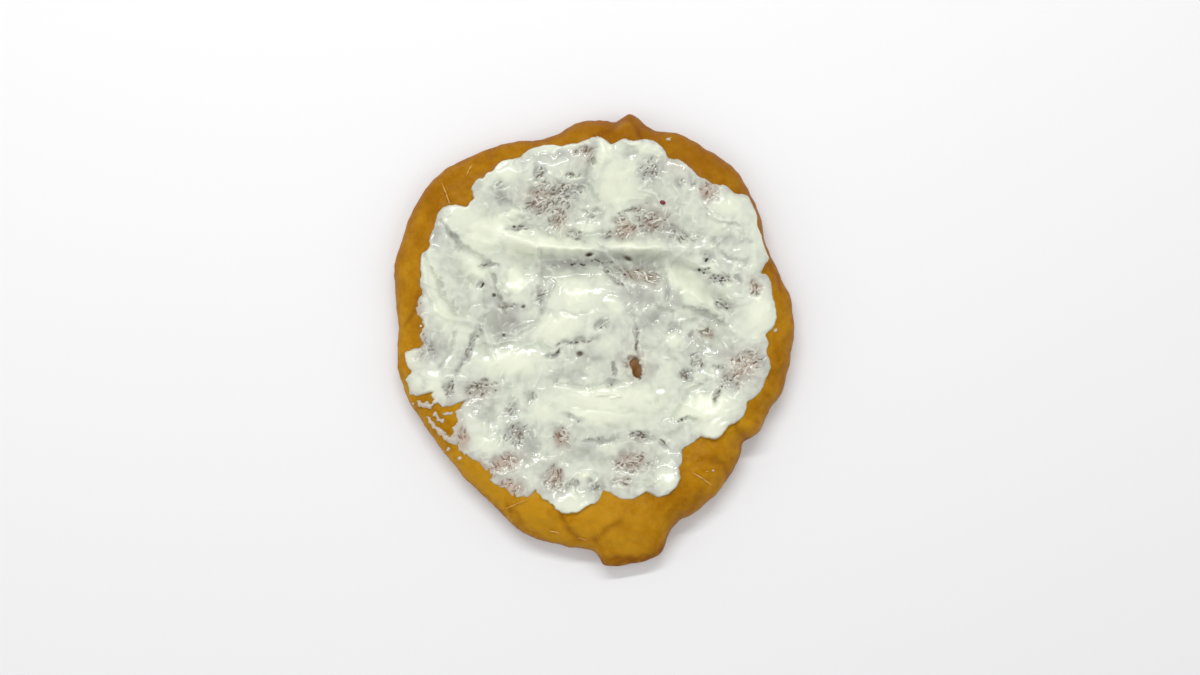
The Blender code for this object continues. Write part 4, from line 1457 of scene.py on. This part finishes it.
def shred_tree(material):
    """Geometry Nodes: lays a bent, tapering shred on every point of a mesh."""
    tree = bpy.data.node_groups.new("Lay shreds", "GeometryNodeTree")
    face = tree.interface
    face.new_socket("Points", in_out="INPUT", socket_type="NodeSocketGeometry")
    for name, value in (("Sides", 6), ("Spans", 5), ("Seed", 3)):
        face.new_socket(name, in_out="INPUT", socket_type="NodeSocketInt").default_value = value
    face.new_socket("Shreds", in_out="OUTPUT", socket_type="NodeSocketGeometry")
    graph = NodeGraph(tree)
    given = graph.add("NodeGroupInput")
    profile = graph.add("GeometryNodeCurvePrimitiveCircle", {
        "Resolution": given.outputs["Sides"],
        "Radius": 0.5,
    })
    choices = graph.add("GeometryNodeGeometryToInstance")
    along = graph.add("GeometryNodeSplineParameter").outputs["Factor"]
    from_middle = graph.math("ABSOLUTE", graph.math("MULTIPLY_ADD", along, 2.0, -1.0))
    taper = graph.math("SUBTRACT", 1.0, graph.math("MULTIPLY", graph.math("POWER", from_middle, 4.0), 0.4))
    for bend in SHRED_BENDS:
        curve = graph.add("GeometryNodeCurveQuadraticBezier", {
            "Resolution": given.outputs["Spans"],
            "Start": (-0.5, 0, 0),
            "Middle": (0, bend, 0.35 * bend),
            "End": (0.5, 0, 0),
        })
        shaped = graph.add("GeometryNodeSetCurveRadius", {"Curve": curve.outputs[0], "Radius": taper})
        solid = graph.add("GeometryNodeCurveToMesh", {
            "Curve": shaped.outputs[0],
            "Profile Curve": profile.outputs[0],
            "Fill Caps": True,
        })
        tree.links.new(solid.outputs[0], choices.inputs[0])
    size, lie = (
        graph.add("GeometryNodeInputNamedAttribute", {"Name": name}, data_type="FLOAT_VECTOR").outputs[0]
        for name in ("size", "lie")
    )
    turned = graph.add("FunctionNodeEulerToRotation", {0: lie}).outputs[0]
    pick = graph.add("FunctionNodeRandomValue", data_type="INT")
    pick.inputs[4].default_value = 0
    pick.inputs[5].default_value = len(SHRED_BENDS) - 1
    tree.links.new(given.outputs["Seed"], pick.inputs["Seed"])
    laid = graph.add("GeometryNodeInstanceOnPoints", {
        "Points": given.outputs["Points"],
        "Instance": choices.outputs[0],
        "Pick Instance": True,
        "Instance Index": pick.outputs[2],
        "Rotation": turned,
        "Scale": size,
    })
    real = graph.add("GeometryNodeRealizeInstances", {0: laid.outputs[0]})
    smooth = graph.add("GeometryNodeSetShadeSmooth", {0: real.outputs[0]})
    finished = graph.add("GeometryNodeSetMaterial", {0: smooth.outputs[0], "Material": material})
    graph.add("NodeGroupOutput", {0: finished.outputs[0]})
    return tree


def surface_lie(surface, x, y, length, heading):
    """The Euler angles that lay a shred along a heading on a surface."""
    ahead_x, ahead_y = ahead(heading)
    half_x, half_y = ahead_x * length / 2, ahead_y * length / 2
    rise = surface(x + half_x, y + half_y) - surface(x - half_x, y - half_y)
    lean = surface(x - ahead_y, y + ahead_x) - surface(x + ahead_y, y - ahead_x)
    return (0.6 * math.atan2(lean, 2.0), -math.atan2(rise, length), math.radians(heading))


def lay_shreds(name, places, material, seed, spans):
    """Real shreds on a list of (x, y, z, size, lie), as one piece."""
    mesh = bpy.data.meshes.new(name)
    mesh.from_pydata([Vector(p[:3]) * MM for p in places], [], [])
    for key, column in (("size", 3), ("lie", 4)):
        layer = mesh.attributes.new(key, "FLOAT_VECTOR", "POINT")
        layer.data.foreach_set("vector", np.array([p[column] for p in places], np.float32).ravel())
    piece = bpy.data.objects.new(name, mesh)
    bpy.context.scene.collection.objects.link(piece)
    tree = shred_tree(material)
    laid = piece.modifiers.new("lay shreds", "NODES")
    laid.node_group = tree
    sockets = {item.name: item.identifier for item in tree.interface.items_tree if item.in_out == "INPUT"}
    laid[sockets["Seed"]] = seed
    laid[sockets["Spans"]] = spans
    made_plain(piece)
    for attribute in ("size", "lie"):
        if attribute in piece.data.attributes:
            piece.data.attributes.remove(piece.data.attributes[attribute])
    return piece


def linear(red, green, blue):
    """A linear colour from display values of 0 to 255."""
    shares = (c / 255 for c in (red, green, blue))
    return tuple(s / 12.92 if s <= 0.04045 else ((s + 0.055) / 1.055) ** 2.4 for s in shares)


def colour_property(label, meaning, red, green, blue):
    """A colour that a user can change."""
    value = linear(red, green, blue)
    return FloatVectorProperty(
        name=label, description=meaning, subtype="COLOR", size=3, min=0, max=1, default=value
    )


def make_crumb(name, place, height):
    """A small lumpy crumb that sits half sunk at a height."""
    x, y, half_length, half_width, turn = place
    build = bmesh.new()
    bmesh.ops.create_icosphere(build, subdivisions=4, radius=1.0)
    ahead_x, ahead_y = ahead(turn)
    for vertex in build.verts:
        lumpy = vertex.co * (1 + 0.3 * noise.noise(vertex.co * 1.7) + 0.1 * noise.noise(vertex.co * 5))
        along, across, up = lumpy.x * half_length, lumpy.y * half_width, lumpy.z * half_width
        at_x = x + along * ahead_x - across * ahead_y
        at_y = y + along * ahead_y + across * ahead_x
        vertex.co = Vector((at_x, at_y, height + up)) * MM
    mesh = bpy.data.meshes.new(name)
    build.to_mesh(mesh)
    build.free()
    mesh.shade_smooth()
    crumb = bpy.data.objects.new(name, mesh)
    bpy.context.scene.collection.objects.link(crumb)
    return crumb


class LangosColours(bpy.types.PropertyGroup):
    """The colours of the finishes."""

    crust: colour_property("Crust", "The crust's main amber", 179, 124, 6)
    crust_pale: colour_property("Pale crust", "The crust on its raised lumps", 197, 144, 24)
    crust_deep: colour_property("Deep crust", "The crust in its darker patches", 161, 106, 0)
    # Browning that also carries painted shade in creases, hollows and at the edge.
    crust_browned_and_shaded: colour_property("Browned crust", "The crust in creases and at its edge", 136, 78, 2)
    # Painted highlights: small pale flecks on the crust.
    crust_fleck_highlight: colour_property("Flecks", "The palest flecks of the crust", 208, 156, 70)
    # Painted shade: the bread at the bottom of the torn hole, painted darker.
    crust_torn_shaded: colour_property("Torn crust", "The bread at the bottom of the torn hole", 98, 66, 30)
    # The bread under the cream, seen in its holes: soaked by cream and darkened as painted shade.
    crust_wet_and_shaded: colour_property("Crust under cream", "The bread that shows through the cream", 160, 122, 90)
    cream_thick: colour_property("Thick cream", "Soured cream at its thickest", 240, 244, 222)
    cream: colour_property("Cream", "Soured cream of a middling thickness", 220, 224, 208)
    # Painted shade: the tint that darkens the cream in its hollows.
    cream_hollow_shade: colour_property("Hollows", "How the cream's hollows are tinted", 204, 212, 200)
    film: colour_property("Film", "Cream scraped to a film", 186, 187, 178)
    film_dark: colour_property("Thin film", "Film so thin that the bread shows", 160, 154, 142)
    film_warm: colour_property("Warm film", "Film tinted by the bread under it", 200, 180, 162)
    # The two gap colours below are the bread seen through gaps, darkened as painted shade.
    shaded_through_warm: colour_property("Warm gaps", "Bread in the warm gaps of the film", 126, 94, 74)
    shaded_through_film: colour_property("Gaps", "Bread seen through gaps in the film", 112, 102, 88)
    cheese: colour_property("Cheese", "Shreds of cheese with a coat of cream", 226, 226, 212)
    cheese_deep: colour_property("Cheese, deeper", "Shreds of cheese where their coat is thin", 206, 198, 184)
    stray: colour_property("Stray cheese", "Shreds of cheese on the bare rim", 220, 172, 96)
    stray_deep: colour_property("Stray cheese, deeper", "Those shreds where they soaked up fat", 200, 146, 56)
    crumb: colour_property("Red crumb", "The red crumb in the cream", 140, 34, 56)
    crumb_deep: colour_property("Red crumb, deeper", "Its darker patches", 92, 16, 34)
    floor: colour_property("Floor", "The floor that the bread lies on", 246, 246, 247)


class LangosSizes(bpy.types.PropertyGroup):
    """The sizes and counts that set how fine the langos is."""

    crust_segments: IntProperty(
        name="Crust segments", description="Steps round the crust", default=500, min=60, max=540
    )
    shred_width: FloatProperty(
        name="Shred width", description="Width of a shred of cheese", default=0.00095, unit="LENGTH"
    )
    shred_count: IntProperty(
        name="Shreds", description="Shreds of cheese that lie in the cream", default=1500, min=0
    )
    seed: IntProperty(name="Seed", description="Sets where the shreds fall", default=11)
    camera_height: FloatProperty(
        name="Camera height", description="Height of the camera above the bread", default=0.76, unit="LENGTH"
    )


cream_field = {}


def current_field(sizes):
    """The cream's field, worked out once."""
    if "field" not in cream_field:
        cream_field["field"] = CreamField(sizes.shred_count, sizes.shred_width / MM, sizes.seed)
    return cream_field["field"]


class LANGOS_OT_crust(bpy.types.Operator):
    """Make the fried bread with its lumps, creases and brown edge, with painted shade in its creases and at
    its edge
    """

    bl_idname = "langos.crust"
    bl_label = "Fried crust"

    def execute(self, context):
        crust = make_crust_mesh(context.scene.langos_sizes.crust_segments)
        finish_piece(crust, crust_material(context.scene.langos_colours), "fried_crust", "dough")
        return {"FINISHED"}


class LANGOS_OT_cream(bpy.types.Operator):
    """Make the soured cream with its folds, scraped places and smears"""

    bl_idname = "langos.cream"
    bl_label = "Soured cream"

    def execute(self, context):
        cream = make_cream_mesh(current_field(context.scene.langos_sizes))
        finish_piece(cream, cream_material(context.scene.langos_colours), "soured_cream", "soured_cream")
        return {"FINISHED"}


class LANGOS_OT_cheese(bpy.types.Operator):
    """Lay real shreds of cheese where the cream is scraped thin, stray ones on the rim, and a red crumb"""

    bl_idname = "langos.cheese"
    bl_label = "Grated cheese"

    def execute(self, context):
        sizes = context.scene.langos_sizes
        field = current_field(sizes)
        width = sizes.shred_width / MM
        colours = context.scene.langos_colours
        coated = cheese_material("grated cheese", colours.cheese_deep, colours.cheese)
        soaked = cheese_material("rim cheese", colours.stray_deep, colours.stray)

        def height(x, y):
            x, y = np.array([x], float), np.array([y], float)
            thickness = np.maximum(0, field.read(field.thickness, x, y))
            return float((field.read(field.ground, x, y) + thickness)[0])

        def bread(x, y):
            return float(dough_top(np.array([x], float), np.array([y], float))[0])

        def from_edge(x, y):
            return float(read_turn(CREAM_EDGE, np.array(x), np.array(y))) - math.hypot(x, y)

        places = []
        for x, y, length, heading, bend, lift in field.shreds:
            bare = float(field.read(field.bare, np.array([x]), np.array([y]))[0])
            if bare < SHRED_LEAST_BARE or lift < SHRED_LEAST_LIFT or from_edge(x, y) < 2 + length / 2:
                continue
            size = (0.5 * length * MM, width * 0.8 * MM, width * 0.7 * MM)
            sunk = 0.35 * (1 - lift)
            places.append((x, y, height(x, y) - sunk, size, surface_lie(height, x, y, length, heading)))
        laid = lay_shreds("grated_cheese", places, coated, sizes.seed, 5)
        finish_piece(laid, coated, "soured_cream")
        strays = []
        for x, y, length, heading in STRAY_SHREDS:
            size = (length * MM, width * 0.45 * MM, width * 0.4 * MM)
            strays.append((x, y, bread(x, y) + 0.2, size, surface_lie(bread, x, y, length, heading)))
        rim = lay_shreds("rim_shreds", strays, soaked, sizes.seed, 8)
        finish_piece(rim, soaked, "soured_cream")
        red = cheese_material("red crumb", colours.crumb_deep, colours.crumb)
        crumb = make_crumb("red_crumb", RED_CRUMB, height(*RED_CRUMB[:2]) + 0.2)
        finish_piece(crumb, red, "soured_cream")
        return {"FINISHED"}


class LANGOS_OT_stage(bpy.types.Operator):
    """Make the floor, the lights and the camera that looks straight down"""

    bl_idname = "langos.stage"
    bl_label = "Stage"

    def execute(self, context):
        scene = context.scene
        build = bmesh.new()
        bmesh.ops.create_grid(build, x_segments=1, y_segments=1, size=2.0)
        mesh = bpy.data.meshes.new("floor")
        build.to_mesh(mesh)
        build.free()
        floor = bpy.data.objects.new("floor", mesh)
        scene.collection.objects.link(floor)
        floor.data.materials.append(floor_material(scene.langos_colours))
        for name, place, width, depth, power in LIGHTS:
            data = bpy.data.lights.new(name, "AREA")
            data.shape = "RECTANGLE"
            data.size = width
            data.size_y = depth
            data.energy = power
            lamp = bpy.data.objects.new(name, data)
            lamp.location = place
            lamp.rotation_euler = (-Vector(place)).to_track_quat("-Z", "Y").to_euler()
            scene.collection.objects.link(lamp)
        world = bpy.data.worlds.new("studio")
        world.use_nodes = True
        backdrop = world.node_tree.nodes["Background"]
        backdrop.inputs["Color"].default_value = (1.0, 1.0, 1.0, 1.0)
        backdrop.inputs["Strength"].default_value = BACKDROP_STRENGTH
        scene.world = world
        eye = bpy.data.cameras.new("camera")
        eye.lens = CAMERA_LENS
        eye.sensor_width = 36.0
        camera = bpy.data.objects.new("camera", eye)
        camera.location = (*CAMERA_OVER, scene.langos_sizes.camera_height)
        scene.collection.objects.link(camera)
        scene.camera = camera
        scene.view_settings.view_transform = "Standard"
        return {"FINISHED"}


class LANGOS_PT_sidebar(bpy.types.Panel):
    """Lists what the langos is made of"""

    bl_idname = "LANGOS_PT_sidebar"
    bl_label = "Langos"
    bl_space_type = "VIEW_3D"
    bl_region_type = "UI"
    bl_category = "Langos"

    def draw(self, context):
        for made in OPERATORS:
            self.layout.operator(made.bl_idname)
        for group in (context.scene.langos_sizes, context.scene.langos_colours):
            box = self.layout.box()
            for name in group.__annotations__:
                box.prop(group, name)


OPERATORS = (LANGOS_OT_crust, LANGOS_OT_cream, LANGOS_OT_cheese, LANGOS_OT_stage)
CLASSES = (LangosColours, LangosSizes, *OPERATORS, LANGOS_PT_sidebar)


def register():
    """Makes the classes and their settings known to Blender."""
    for made in CLASSES:
        bpy.utils.register_class(made)
    bpy.types.Scene.langos_colours = PointerProperty(type=LangosColours)
    bpy.types.Scene.langos_sizes = PointerProperty(type=LangosSizes)


def unregister():
    """Takes them out again."""
    del bpy.types.Scene.langos_colours
    del bpy.types.Scene.langos_sizes
    for made in reversed(CLASSES):
        bpy.utils.unregister_class(made)


def main():
    """Makes every piece and the stage."""
    register()
    bpy.ops.langos.crust()
    bpy.ops.langos.cream()
    bpy.ops.langos.cheese()
    bpy.ops.langos.stage()


if __name__ == "__main__":
    main()
